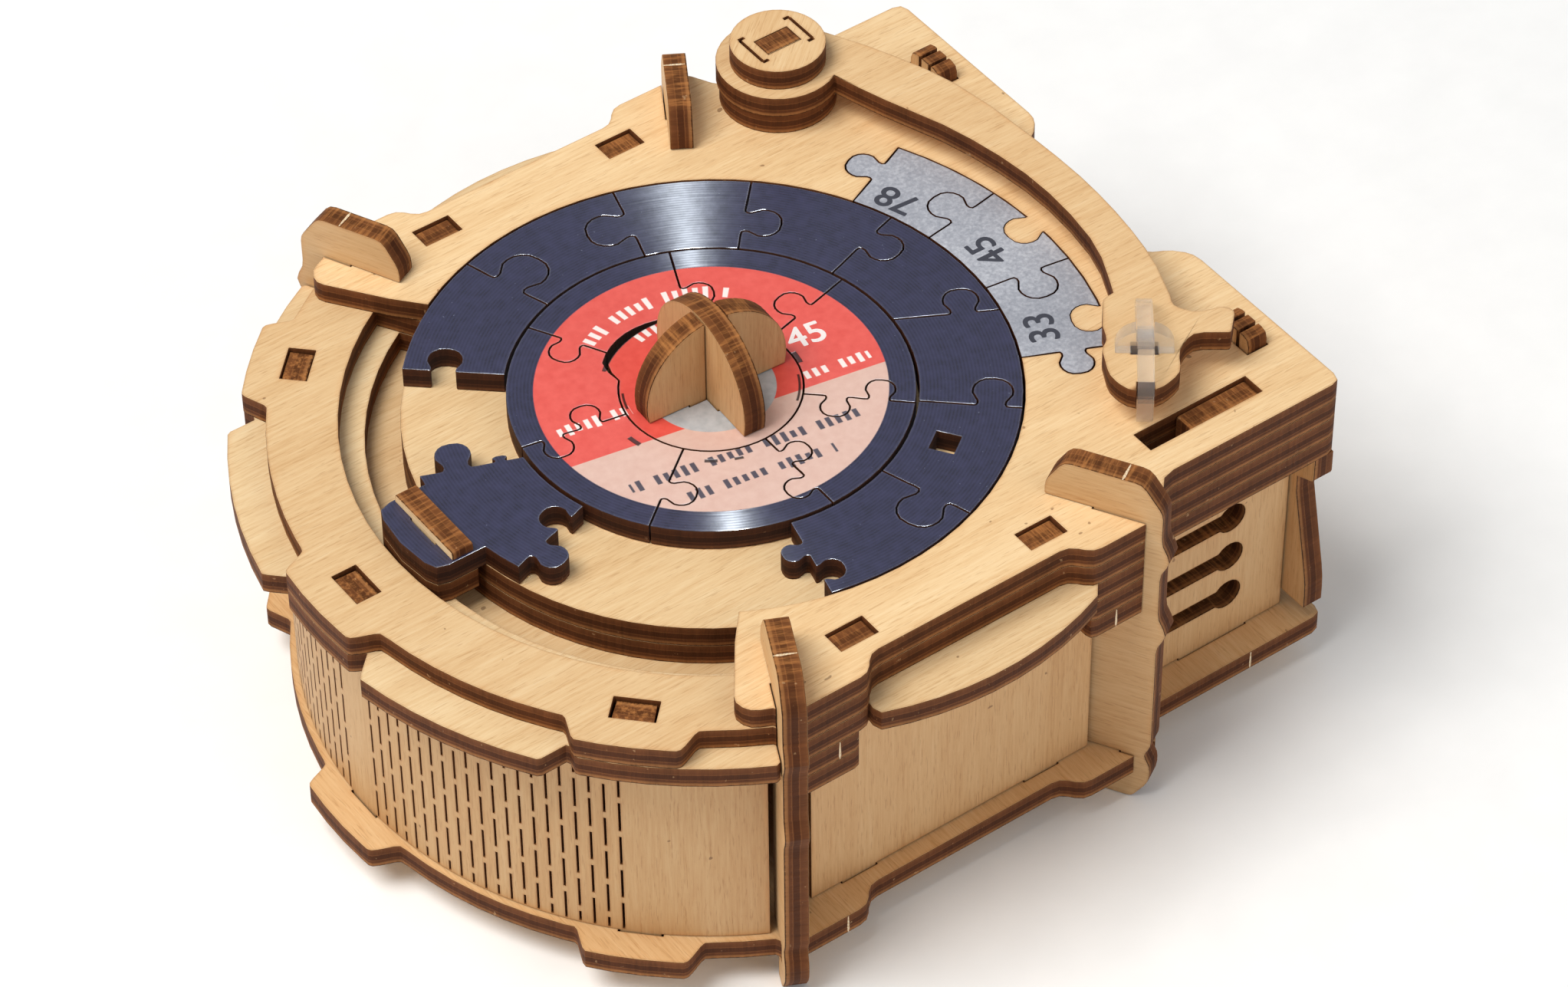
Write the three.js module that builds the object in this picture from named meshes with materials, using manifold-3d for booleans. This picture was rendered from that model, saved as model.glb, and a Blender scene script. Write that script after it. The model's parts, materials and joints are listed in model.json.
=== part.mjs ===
// Wooden turntable puzzle box: laser-cut plywood sheets stacked and slotted into a small record player.
// Millimetres, +Z up, +X towards the square end. The design frame has the record's axis at x = y = 0 and
// the feet on z = 0; the exported group is shifted so that its origin is the middle of the footprint.

import * as THREE from 'three';
import { mergeVertices } from 'three/addons/utils/BufferGeometryUtils.js';
import Module from 'manifold-3d';

const wasm = await Module();
wasm.setup();

// ---- Driving dimensions ----

const SHEET = 3; // plywood
const ACRYLIC = 2; // clear stylus sheet
const TOP_Z = 48; // top face of the top plate
const BASE_Z = 4.5; // underside of the base plate
const FIT = 0.15; // clearance round posts and tabs
const KERF = 0.2; // laser cut between jigsaw pieces
const RUN = 0.1; // running gap under a part that turns
const FOOTPRINT_CENTRE_X = 2.1; // middle of the footprint, from the record's axis

const RECORD_R = 38; // outer edge of the record and of the platter
const RING_IN_R = 25.4; // inner edge of the outer record ring
const LABEL_R = 25; // outer edge of the turning label disc
const CORE_R = 11.3; // label core
const CORE_LOBE_R = 13.4; // and where it is wider, under the clip slot
const SPINDLE_HOLE_R = 4.8;

const TRACK_OUT_R = 45.6; // outer wall of the slider's channel
const LEDGE_R = 42.5; // inner edge of the ledge the slider rides on
const CHANNEL_END = 121; // the channel runs from this angle round to minus it

const WALL_OUT_R = 53.2; // living hinge wall
const WALL_END = 118.6; // its ends, in degrees
const RIM_LOW_R = 54.4; // round end between its tabs
const RIM_HIGH_R = 57.7; // on the tabs
const RIM_FILLED_R = 59.3; // third sheet, between the tabs
const RIM_TABS = [{ angle: -135.4, half: 7.3 }, { angle: 135.4, half: 7.3 }, { angle: 180, half: 7.9 }];

const SQUARE_X = 62.5; // square end
const SQUARE_Y = 44.7; // half width of the square end
const LUG_Y = 50; // half width at the posts
const RECESS_Y = 47.5; // half width between the posts
const SIDE_WALL_Y = 45.2; // outer face of the straight side walls
const GRILLE_WALL_Y = 40.3; // outer face of the grille walls
const END_WALL_X = 59.3; // inner face of the end wall

const POST_SPINE_R = 50.4; // inner edge of each post's spine
const RIGHT_POST = 59.3; // post angles, mirrored front and back
const LEFT_POST = 115.9;

const HUB = new THREE.Vector2(38.7, 39.4); // tonearm pivot
const HUB_R = 7.9;
const PIN_HOLE_R = 3.1;
const PIN = { width: 5, thickness: 3 };
const WASHER_R = 4.9;

const STRIP_IN_R = 38.3; // grey speed scale let into the top plate
const STRIP_OUT_R = 50;

// ---- Materials ----

const finish = (color, roughness) => new THREE.MeshStandardMaterial({ color, roughness, metalness: 0 });
const BIRCH = finish(0xe8cf9f, 0.7);
const DARK_BIRCH = finish(0x9a6f48, 0.75);
const VINYL = finish(0x2f3350, 0.45);
const RED = finish(0xe8564a, 0.5);
const GREY = finish(0x989da6, 0.4);
const CLEAR = new THREE.MeshStandardMaterial({
  color: 0xe6eef0,
  roughness: 0.08,
  transparent: true,
  opacity: 0.35,
});

// ---- Outlines ----

const point = (x, y) => new THREE.Vector2(x, y);

function polar(radius, degrees) {
  const angle = THREE.MathUtils.degToRad(degrees);
  return point(radius * Math.cos(angle), radius * Math.sin(angle));
}

const angleOf = (p) => THREE.MathUtils.radToDeg(Math.atan2(p.y, p.x));

// Points along an arc, from one angle to another either way round.
function arc(radius, from, to, centre = point(0, 0), step = 5) {
  const count = Math.max(1, Math.ceil(Math.abs(to - from) / step));
  const points = [];
  for (let i = 0; i <= count; i += 1) {
    points.push(polar(radius, from + ((to - from) * i) / count).add(centre));
  }
  return points;
}

const circle = (radius, centre = point(0, 0), step = 10) => arc(radius, 0, 360 - step, centre, step);

function rectangle(x0, y0, x1, y1) {
  return [point(x0, y0), point(x1, y0), point(x1, y1), point(x0, y1)];
}

// A rectangle across a ray from the origin.
function radialSlot(degrees, innerR, outerR, width) {
  const along = polar(1, degrees);
  const across = point(-along.y, along.x).multiplyScalar(width / 2);
  const inner = along.clone().multiplyScalar(innerR);
  const outer = along.clone().multiplyScalar(outerR);
  return [
    inner.clone().sub(across),
    outer.clone().sub(across),
    outer.clone().add(across),
    inner.clone().add(across),
  ];
}

// A closed polygon of [x, y, corner radius] turned into an outline with round corners.
function rounded(corners, steps = 2) {
  const outline = [];
  corners.forEach(([x, y, radius = 0], i) => {
    const corner = point(x, y);
    if (radius === 0) {
      outline.push(corner);
      return;
    }
    const before = corners[(i + corners.length - 1) % corners.length];
    const after = corners[(i + 1) % corners.length];
    const back = point(before[0] - x, before[1] - y);
    const ahead = point(after[0] - x, after[1] - y);
    const reach = Math.min(radius, back.length() / 2.1, ahead.length() / 2.1);
    const start = corner.clone().add(back.setLength(reach));
    const end = corner.clone().add(ahead.setLength(reach));
    outline.push(...new THREE.QuadraticBezierCurve(start, corner, end).getPoints(steps));
  });
  return outline;
}

const lift = (p) => new THREE.Vector3(p.x, p.y, 0);
const mirrorY = (points) => points.map((p) => point(p.x, -p.y)).reverse();

// ---- Solids ----

// Leaves out the points that lie within a small distance of a straight run between their neighbours.
const FLATNESS = 0.04;
function thinned(outline) {
  const kept = [outline[0]];
  let last = 0;
  for (let i = 2; i < outline.length; i += 1) {
    const run = new THREE.Line3(lift(outline[last]), lift(outline[i]));
    const nearest = new THREE.Vector3();
    const strays = outline.slice(last + 1, i).some((p) =>
      run.closestPointToPoint(lift(p), true, nearest).distanceTo(lift(p)) > FLATNESS);
    if (strays) {
      last = i - 1;
      kept.push(outline[last]);
    }
  }
  kept.push(outline[outline.length - 1]);
  return kept;
}

function extrude(outline, depth = SHEET) {
  const shape = new THREE.Shape(thinned(outline));
  return new THREE.ExtrudeGeometry(shape, { depth, bevelEnabled: false, steps: 1 });
}

function toSolid(geometry) {
  const bare = geometry.clone();
  bare.deleteAttribute('normal');
  bare.deleteAttribute('uv');
  const merged = mergeVertices(bare, 1e-5);
  const mesh = new wasm.Mesh({
    numProp: 3,
    vertProperties: new Float32Array(merged.attributes.position.array),
    triVerts: new Uint32Array(merged.index.array),
  });
  return new wasm.Manifold(mesh);
}

function toGeometry(solid) {
  const mesh = solid.getMesh();
  const positions = new Float32Array(mesh.numVert * 3);
  for (let i = 0; i < mesh.numVert; i += 1) {
    for (let k = 0; k < 3; k += 1) {
      positions[i * 3 + k] = mesh.vertProperties[i * mesh.numProp + k];
    }
  }
  const geometry = new THREE.BufferGeometry();
  geometry.setAttribute('position', new THREE.BufferAttribute(positions, 3));
  geometry.setIndex(new THREE.BufferAttribute(new Uint32Array(mesh.triVerts), 1));
  geometry.computeVertexNormals();
  return geometry;
}

// Cuts outlines right through a sheet that lies from z = 0 to its thickness.
function pierce(geometry, outlines, depth = SHEET) {
  const through = 1;
  const solid = outlines.reduce((left, outline) => {
    const tool = extrude(outline, depth + 2 * through);
    tool.translate(0, 0, -through);
    return left.subtract(toSolid(tool));
  }, toSolid(geometry));
  return toGeometry(solid);
}

function join(geometries) {
  const [first, ...rest] = geometries.map(toSolid);
  return toGeometry(rest.reduce((whole, part) => whole.add(part), first));
}

// ---- Scene graph ----

const group = new THREE.Group();
group.position.x = -FOOTPRINT_CENTRE_X;

function add(name, geometry, material, z = 0, parent = group) {
  const mesh = new THREE.Mesh(geometry, material);
  mesh.name = name;
  mesh.position.z = z;
  parent.add(mesh);
  return mesh;
}

const layerZ = (layer) => TOP_Z - layer * SHEET; // underside of the nth sheet from the top

// Stands a sheet on its edge: outline x runs along the given direction, outline y becomes height. The
// sheet is centred on the point (x, y).
function addStanding(name, geometry, material, { x, y, heading = 0, thickness = SHEET, parent = group }) {
  const turned = new THREE.Group();
  turned.position.set(x, y, 0);
  turned.rotation.z = THREE.MathUtils.degToRad(heading);
  parent.add(turned);
  const mesh = add(name, geometry, material, 0, turned);
  mesh.rotation.x = Math.PI / 2;
  mesh.position.y = thickness / 2;
  return mesh;
}

// ---- Case outlines ----

const angleBetween = (a, b) => Math.abs(THREE.MathUtils.euclideanModulo(a - b + 180, 360) - 180);

// The tab nearest to an angle, and how far the angle is outside that tab's edge.
function nearestTab(degrees) {
  return Math.min(...RIM_TABS.map((tab) => angleBetween(degrees, tab.angle) - tab.half));
}

// Radius of a round end that steps out softly at its three tabs.
function rimRadius(low, high) {
  const blend = 2.7;
  const onTab = (degrees) => THREE.MathUtils.smoothstep(0.5 - nearestTab(degrees) / blend, 0, 1);
  return (degrees) => low + (high - low) * onTab(degrees);
}

// The third sheet fills the spaces between the tabs, with a V cut at the edge of each tab.
function filledRimRadius(degrees) {
  const outside = nearestTab(degrees);
  const nearPost = angleBetween(degrees, 180) > RIM_TABS[1].angle - 90;
  if (nearPost || outside < -1.3) {
    return RIM_HIGH_R;
  }
  const veeR = 55.9;
  const veeAt = 0.1;
  return outside < veeAt
    ? THREE.MathUtils.mapLinear(outside, -1.3, veeAt, RIM_HIGH_R, veeR)
    : Math.min(RIM_FILLED_R, THREE.MathUtils.mapLinear(outside, veeAt, 2.5, veeR, RIM_FILLED_R));
}

function roundEnd(radiusAt) {
  const from = 118;
  const step = 0.5;
  const points = [];
  for (let degrees = from; degrees < 360 - from + step / 2; degrees += step) {
    points.push(polar(radiusAt(degrees), degrees));
  }
  return points;
}

// One straight side, from the middle of the square end to the left post's lug, on the +Y side.
const squareEnd = [
  [57.5, 0], [57.5, 12.2, 1.2], [60.8, 14, 1.2], [SQUARE_X, 16.2, 1.2], [SQUARE_X, SQUARE_Y, 1.5],
];
const sideEdge = [
  [34.2, SQUARE_Y, 2], [31.4, LUG_Y, 1], [20, LUG_Y, 1.2], [18, RECESS_Y, 1.2],
  [-11.2, RECESS_Y, 1.2], [-13.2, LUG_Y, 1.2], [-24.4, LUG_Y],
];

// Rounds one side's corners and leaves out its two end points.
function roundedSide(corners) {
  const side = rounded(corners);
  return side.slice(1, -1);
}

function deckOutline(radiusAt, end = squareEnd) {
  const side = roundedSide([...end, ...sideEdge, [-25.5, 48]]);
  return [...side, ...roundEnd(radiusAt), ...mirrorY(side)];
}

const postSlots = [RIGHT_POST, LEFT_POST, -RIGHT_POST, -LEFT_POST].map((degrees) =>
  radialSlot(degrees, POST_SPINE_R - FIT, 75, SHEET + 2 * FIT));

// Windows for the tabs of the walls.
const SIDE_TABS = [[-13.6, -8.5], [14.3, 19.4]];
const sideTabWindows = [1, -1].flatMap((sign) => SIDE_TABS.map(([x0, x1]) => {
  const near = sign * (SIDE_WALL_Y + FIT);
  const far = sign * (SIDE_WALL_Y - SHEET - FIT);
  return rectangle(x0 - FIT, Math.min(near, far), x1 + FIT, Math.max(near, far));
}));

const RIM_TAB_WIDTH = 5.3;
const rimWindows = RIM_TABS.map(({ angle }) =>
  radialSlot(angle, WALL_OUT_R - SHEET - 2 * FIT, WALL_OUT_R + FIT, RIM_TAB_WIDTH + 2 * FIT));

const GRILLE_TAB = { x0: 42.6, x1: 53.3 };
const grilleWindow = (x0) =>
  rectangle(x0, -GRILLE_WALL_Y - FIT, GRILLE_TAB.x1 + FIT, -GRILLE_WALL_Y + SHEET + FIT);
const longWindow = grilleWindow(36.1);
const shortWindow = grilleWindow(GRILLE_TAB.x0 - FIT);

const LATCH = { inner: 28.3, outer: 34.3, x0: END_WALL_X - SHEET - 0.1, x1: END_WALL_X - 0.1 };
const latchWindows = [1, -1].map((sign) => {
  const near = sign * (LATCH.inner - FIT);
  const far = sign * (LATCH.outer + FIT);
  return rectangle(LATCH.x0 - FIT, Math.min(near, far), LATCH.x1 + FIT, Math.max(near, far));
});

const hubHole = circle(PIN_HOLE_R, HUB, 20);
const hubLug = extrude(circle(HUB_R, HUB));

// ---- Jigsaw cuts ----

// One round knob on a jigsaw cut: distances along the cut and out from it, both over the knob's width.
const KNOB = [
  [-0.62, 0], [-0.36, 0], [-0.33, 0.16], [-0.46, 0.4], [-0.42, 0.68], [-0.2, 0.88],
  [0.2, 0.88], [0.42, 0.68], [0.46, 0.4], [0.33, 0.16], [0.36, 0], [0.62, 0],
];

// A knob is { at, size, side, rise }: place along the cut (0 to 1), width in millimetres, side +1 for left
// of the cut or -1 for right, and a factor on its height.
function jigsawCut(start, end, knobs) {
  const along = end.clone().sub(start);
  const length = along.length();
  along.normalize();
  const left = point(-along.y, along.x);
  const place = (s, n) => start.clone().addScaledVector(along, s).addScaledVector(left, n);
  const guide = [place(0, 0)];
  knobs.forEach(({ at, size, side, rise = 1 }) => {
    KNOB.forEach(([s, n]) => guide.push(place(at * length + s * size, n * size * side * rise)));
  });
  guide.push(place(length, 0));
  return new THREE.SplineCurve(guide).getPoints((guide.length - 1) * 2);
}

// A cut that runs outwards between two radii.
function radialCut(innerR, outerR, { angle, lean = 0, knobs }) {
  return jigsawCut(polar(innerR, angle - lean / 2), polar(outerR, angle + lean / 2), knobs);
}

// Moves an open line sideways, to its left when the distance is positive.
function shifted(line, distance) {
  return line.map((p, i) => {
    const ahead = line[Math.min(i + 1, line.length - 1)];
    const behind = line[Math.max(i - 1, 0)];
    const along = ahead.clone().sub(behind).normalize();
    return point(p.x - along.y * distance, p.y + along.x * distance);
  });
}

// Outline of the piece between two cuts, the clockwise one first. Each edge gives up half a kerf.
function ringPiece(innerR, outerR, firstCut, secondCut, gap = KERF / 2) {
  const first = shifted(firstCut, gap);
  const second = shifted(secondCut, -gap);
  const onwards = (from, to) => from + THREE.MathUtils.euclideanModulo(to - from, 360);
  const outerFrom = angleOf(first[first.length - 1]);
  const outerTo = onwards(outerFrom, angleOf(second[second.length - 1]));
  const innerFrom = angleOf(first[0]);
  const innerTo = onwards(innerFrom, angleOf(second[0]));
  return [
    ...first.slice(1, -1),
    ...arc(outerR, outerFrom, outerTo),
    ...second.slice(1, -1).reverse(),
    ...arc(innerR, innerTo, innerFrom),
  ];
}

// ---- Top sheets ----

// Cuts of the grey speed scale, clockwise end first.
const stripCuts = [
  { angle: -28.2, lean: 0.8, knobs: [{ at: 0.55, size: 4.6, side: -1 }] },
  { angle: -8.6, knobs: [{ at: 0.5, size: 5.4, side: -1 }] },
  { angle: 8.9, knobs: [{ at: 0.5, size: 5.4, side: 1 }] },
  { angle: 26.3, lean: -0.6, knobs: [{ at: 0.55, size: 4.8, side: 1 }] },
].map((cut) => radialCut(STRIP_IN_R, STRIP_OUT_R, cut));

// Wooden knobs of the top plate that reach into the scale.
const STRIP_KEYS = [0, -21.5];
function stripKey(degrees, grow) {
  const outward = polar(1, degrees);
  const across = point(-outward.y, outward.x);
  const foot = (side) => outward.clone().multiplyScalar(STRIP_OUT_R + 0.6).addScaledVector(across, side * 5);
  const cut = jigsawCut(foot(1), foot(-1), [{ at: 0.5, size: 5.4, side: -1 }]);
  return [...shifted(cut, -grow), polar(STRIP_OUT_R + 4, degrees - 6), polar(STRIP_OUT_R + 4, degrees + 6)];
}

// The inlay before it is cut into pieces; grow widens it into the opening that holds it.
function stripBlank(grow, depth) {
  const outline = ringPiece(STRIP_IN_R - 10 * grow, STRIP_OUT_R + grow, stripCuts[0], stripCuts[3], -grow);
  return pierce(extrude(outline, depth), STRIP_KEYS.map((degrees) => stripKey(degrees, -grow)), depth);
}

function buildTopPlate() {
  const leftEnd = [[-25.4, 47.9], [-27.8, 46.8, 1.2], [-28.6, 44.6, 1.2], [-22.8, 36.7], [-19.3, 32.7]];
  const half = roundedSide([...squareEnd, ...sideEdge, ...leftEnd, [0, 30]]);
  const blank = join([extrude([...half, ...mirrorY(half)]), hubLug]);
  const opening = stripBlank(KERF / 2, 3 * SHEET);
  opening.translate(0, 0, -SHEET);
  const pocketed = toGeometry(toSolid(blank).subtract(toSolid(opening)));
  return pierce(pocketed, [
    circle(RECORD_R + 0.3, point(0, 0), 5),
    ...postSlots,
    ...sideTabWindows,
    longWindow,
    ...latchWindows,
    hubHole,
  ]);
}

// Opening for the platter, wider along the slider's channel.
function platterOpening(channelR) {
  return [
    ...arc(RECORD_R + 0.4, -CHANNEL_END, CHANNEL_END),
    ...arc(channelR, CHANNEL_END, 360 - CHANNEL_END),
  ];
}

function buildDeckPlate() {
  const blank = join([extrude(deckOutline(rimRadius(RIM_LOW_R, RIM_HIGH_R))), hubLug]);
  return pierce(blank, [
    platterOpening(TRACK_OUT_R),
    ...postSlots,
    ...sideTabWindows,
    ...rimWindows,
    longWindow,
    ...latchWindows,
    hubHole,
  ]);
}

// The third sheet bulges out between the posts as a finger ledge.
function buildRimPlate() {
  const bulge = [
    ...arc(44, 68.7, 111.3, point(3.6, 10.4)),
    point(-12.8, 50.2),
    point(-12.2, 45),
    point(20, 45),
    point(20.8, 49.9),
  ];
  const blank = join([
    extrude(deckOutline(filledRimRadius)),
    extrude(bulge),
    extrude(mirrorY(bulge)),
    hubLug,
  ]);
  return pierce(blank, [
    platterOpening(LEDGE_R),
    ...postSlots,
    ...sideTabWindows,
    ...rimWindows,
    shortWindow,
    ...latchWindows,
    hubHole,
  ]);
}

// ---- Lower sheets ----

// These stay inside the walls and come out only as lugs at the posts.
const INSIDE_R = WALL_OUT_R - SHEET - 2 * FIT;
const INSIDE_Y = SIDE_WALL_Y - SHEET - 2 * FIT;
function insideOutline(end) {
  const lugs = [
    [19.9, LUG_Y, 1], [19.9, INSIDE_Y], [-14.2, INSIDE_Y], [-14.2, LUG_Y, 1],
    [-24.2, LUG_Y], [-22.7, 46],
  ];
  const side = roundedSide([...end, ...lugs, [-24, 43]]);
  return [...side, ...arc(INSIDE_R, WALL_END - 0.3, 360.3 - WALL_END), ...mirrorY(side)];
}

function buildFloorPlate() {
  const blank = join([extrude(insideOutline([...squareEnd, ...sideEdge.slice(0, 2)])), hubLug]);
  return pierce(blank, [
    circle(SPINDLE_HOLE_R, point(0, 0), 15),
    ...postSlots,
    shortWindow,
    ...latchWindows,
    circle(WASHER_R + 2 * FIT, HUB, 15),
  ]);
}

function buildLowerPlate() {
  const insideGrille = GRILLE_WALL_Y - SHEET - 2 * FIT;
  const end = [[34, 0], [34, insideGrille, 1], [30.5, insideGrille], [30.5, LUG_Y - 1, 0.6], [29.5, LUG_Y]];
  const washerHoleR = 12;
  return pierce(extrude(insideOutline(end)), [circle(washerHoleR), ...postSlots]);
}

function buildBasePlate() {
  const straightEnd = [[SQUARE_X, 0], [SQUARE_X, SQUARE_Y, 1.5]];
  return pierce(extrude(deckOutline(rimRadius(RIM_LOW_R - 0.3, RIM_HIGH_R - 0.3), straightEnd)), [
    ...sideTabWindows,
    ...rimWindows,
    shortWindow,
    ...[RIGHT_POST, LEFT_POST, -RIGHT_POST, -LEFT_POST].map((degrees) =>
      radialSlot(degrees, POST_HOOK_R - FIT, 75, SHEET + 2 * FIT)),
  ]);
}

// ---- Posts and walls ----

const POST_HOOK_R = 55.3; // where a post passes the base plate

// Profile of a clamping post: outline x is the radius, outline y the height. The arm on top clamps the
// top plate and the hook at the foot clamps the base plate.
function postProfile(tip, outset) {
  const outer = [
    [57, 0, 0.6], [59.2, 3.4, 1.2], [59.2, 6.2, 0.8], [58.3, 7.9, 0.6], [59.2, 9.8, 0.8],
    [59.2, 27.6, 1.2], [60.6, 29.8, 1.6], [59.2, 32.2, 1.2], [59.2, 40.2, 1.2], [60.6, 42.4, 1.6],
    [59.2, 44.8, 1.2], [59.2, 50, 0.8], [56.4, 54, 1],
  ].map(([r, z, corner]) => [r + outset, z, corner]);
  return rounded([
    [tip, TOP_Z + RUN, 0.3],
    [POST_SPINE_R, TOP_Z + RUN],
    [POST_SPINE_R, BASE_Z + SHEET + RUN],
    [POST_HOOK_R, BASE_Z + SHEET + RUN],
    [POST_HOOK_R, BASE_Z - RUN],
    [53.2, BASE_Z - RUN],
    [53.2, 0],
    ...outer,
    [tip + 2.3, 54, 1],
    [tip, 50.2, 1],
  ]);
}

const rightProfile = postProfile(44.1, 0);
const leftProfile = postProfile(43.2, -1.6);

function addPost(name, profile, degrees) {
  addStanding(name, extrude(profile), DARK_BIRCH, { x: 0, y: 0, heading: degrees });
}

// Straight side wall: upper tabs come up through three sheets, lower ones go down through the base.
const WALL_FOOT = BASE_Z + SHEET + RUN;
const TAB_FOOT = BASE_Z + RUN;
function sideWallOutline() {
  const [left, right] = SIDE_TABS;
  const corners = [[-18.2, WALL_FOOT]];
  [left, right].forEach(([x0, x1]) => {
    corners.push([x0, WALL_FOOT], [x0, TAB_FOOT], [x1, TAB_FOOT], [x1, WALL_FOOT]);
  });
  corners.push([24.2, WALL_FOOT], [24.2, layerZ(5) - RUN], [19.6, layerZ(5) - RUN], [19.6, layerZ(3) - RUN]);
  const tabTop = TOP_Z - 0.5;
  [right, left].forEach(([x0, x1]) => corners.push(
    [x1, layerZ(3) - RUN], [x1, tabTop, 0.3], [x0, tabTop, 0.3], [x0, layerZ(3) - RUN]));
  corners.push([-13.9, layerZ(3) - RUN], [-13.9, layerZ(5) - RUN], [-18.2, layerZ(5) - RUN]);
  return rounded(corners);
}

// Grille wall with three sound slots, each a bar that ends in a round eye.
const GRILLE_LEVELS = [14.7, 21.4, 28.1];
function soundSlot(level) {
  const eye = point(50, level);
  const halfHeight = 1.35;
  const eyeR = 2.2;
  const meet = THREE.MathUtils.radToDeg(Math.asin(halfHeight / eyeR));
  return [...arc(halfHeight, 90, 270, point(36, level), 30), ...arc(eyeR, 180 + meet, 540 - meet, eye, 20)];
}

function buildGrilleWall(hasTab) {
  const top = layerZ(4) - RUN;
  const right = END_WALL_X - 2 * RUN;
  const { x0, x1 } = GRILLE_TAB;
  const tab = hasTab ? [[x1, top], [x1, TOP_Z - 0.6, 0.4], [x0, TOP_Z - 0.6, 0.4], [x0, top]] : [];
  const foot = hasTab
    ? [[x0, WALL_FOOT], [x0, TAB_FOOT], [x1, TAB_FOOT], [x1, WALL_FOOT]]
    : [];
  const outline = rounded([
    [26, WALL_FOOT],
    ...foot,
    [right, WALL_FOOT],
    [right, top],
    ...tab,
    [30.9, top],
    [30.9, layerZ(5) - RUN],
    [26, layerZ(5) - RUN],
  ]);
  return pierce(extrude(outline), GRILLE_LEVELS.map(soundSlot));
}

// Living hinge wall: one sheet bent round the record end, with a tab at each window.
function buildHingeWall() {
  const inner = WALL_OUT_R - SHEET;
  const section = (from, to) => {
    const outer = arc(WALL_OUT_R, from, to, point(0, 0), 3);
    return [...outer, ...arc(inner, to, from, point(0, 0), 3)];
  };
  const wall = extrude(section(WALL_END, 360 - WALL_END), layerZ(3) - RUN - WALL_FOOT);
  wall.translate(0, 0, WALL_FOOT);
  const tabTop = layerZ(1) - 0.5;
  const half = THREE.MathUtils.radToDeg(RIM_TAB_WIDTH / 2 / WALL_OUT_R) - 0.15;
  const tabs = RIM_TABS.map(({ angle }) => {
    const tab = extrude(section(angle - half, angle + half), tabTop - TAB_FOOT);
    tab.translate(0, 0, TAB_FOOT);
    return tab;
  });
  return join([wall, ...tabs]);
}

// End wall: outline x runs along Y.
function endWallOutline() {
  const top = layerZ(4) - RUN;
  const half = [[44.5, top], [44.5, 32.2, 0.5], [41.5, 31], [41.5, 28.2, 0.5], [42.4, 24, 4], [44.5, 14, 2],
    [44.5, 10], [34, 10], [34, WALL_FOOT]];
  return rounded([...half, ...half.map(([y, z, r]) => [-y, z, r]).reverse()]);
}

// Inner end wall with two snap tabs, each split into three springy prongs.
function buildInnerEndWall() {
  const top = layerZ(4) - RUN;
  const halfY = GRILLE_WALL_Y - SHEET - 2 * RUN;
  const prongTop = 50.2;
  const latch = [
    [LATCH.outer, top],
    [LATCH.outer, prongTop, 1.2],
    [LATCH.inner, prongTop, 1.2],
    [LATCH.inner, top],
  ];
  const half = [[halfY, WALL_FOOT], [halfY, top], ...latch];
  const outline = rounded([...half, ...half.map(([y, z, r]) => [-y, z, r]).reverse()]);
  const slits = [1, -1].flatMap((sign) => [1, 2].map((third) => {
    const y = sign * THREE.MathUtils.lerp(LATCH.inner, LATCH.outer, third / 3);
    return rectangle(y - 0.25, 41, y + 0.25, prongTop + 1);
  }));
  return pierce(extrude(outline), slits);
}

add('base_plate', buildBasePlate(), BIRCH, BASE_Z);
add('lower_plate', buildLowerPlate(), BIRCH, layerZ(5));
add('floor_plate', buildFloorPlate(), BIRCH, layerZ(4));
add('rim_plate', buildRimPlate(), BIRCH, layerZ(3));
add('deck_plate', buildDeckPlate(), BIRCH, layerZ(2));
add('top_plate', buildTopPlate(), BIRCH, layerZ(1));
add('living_hinge_wall', buildHingeWall(), DARK_BIRCH);
const sideWallMiddle = SIDE_WALL_Y - SHEET / 2;
const grilleWallMiddle = GRILLE_WALL_Y - SHEET / 2;
addStanding('side_wall_front', extrude(sideWallOutline()), DARK_BIRCH, { x: 0, y: -sideWallMiddle });
addStanding('side_wall_back', extrude(sideWallOutline()), DARK_BIRCH, { x: 0, y: sideWallMiddle });
addStanding('grille_wall_front', buildGrilleWall(true), DARK_BIRCH, { x: 0, y: -grilleWallMiddle });
addStanding('grille_wall_back', buildGrilleWall(false), DARK_BIRCH, { x: 0, y: grilleWallMiddle });
const across = { y: 0, heading: 90 };
addStanding('end_wall', extrude(endWallOutline()), DARK_BIRCH, { x: END_WALL_X + SHEET / 2, ...across });
addStanding('inner_end_wall', buildInnerEndWall(), DARK_BIRCH, { x: (LATCH.x0 + LATCH.x1) / 2, ...across });
addPost('post_front_left', leftProfile, -LEFT_POST);
addPost('post_front_right', rightProfile, -RIGHT_POST);
addPost('post_back_left', leftProfile, LEFT_POST);
addPost('post_back_right', rightProfile, RIGHT_POST);

// ---- Record: fixed platter and outer ring ----

const spindleHole = circle(SPINDLE_HOLE_R, point(0, 0), 15);
const platterSheet = () => pierce(extrude(circle(RECORD_R, point(0, 0), 5)), [spindleHole]);
add('platter_lower', platterSheet(), BIRCH, layerZ(3));
add('platter_upper', platterSheet(), BIRCH, layerZ(2));

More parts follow.
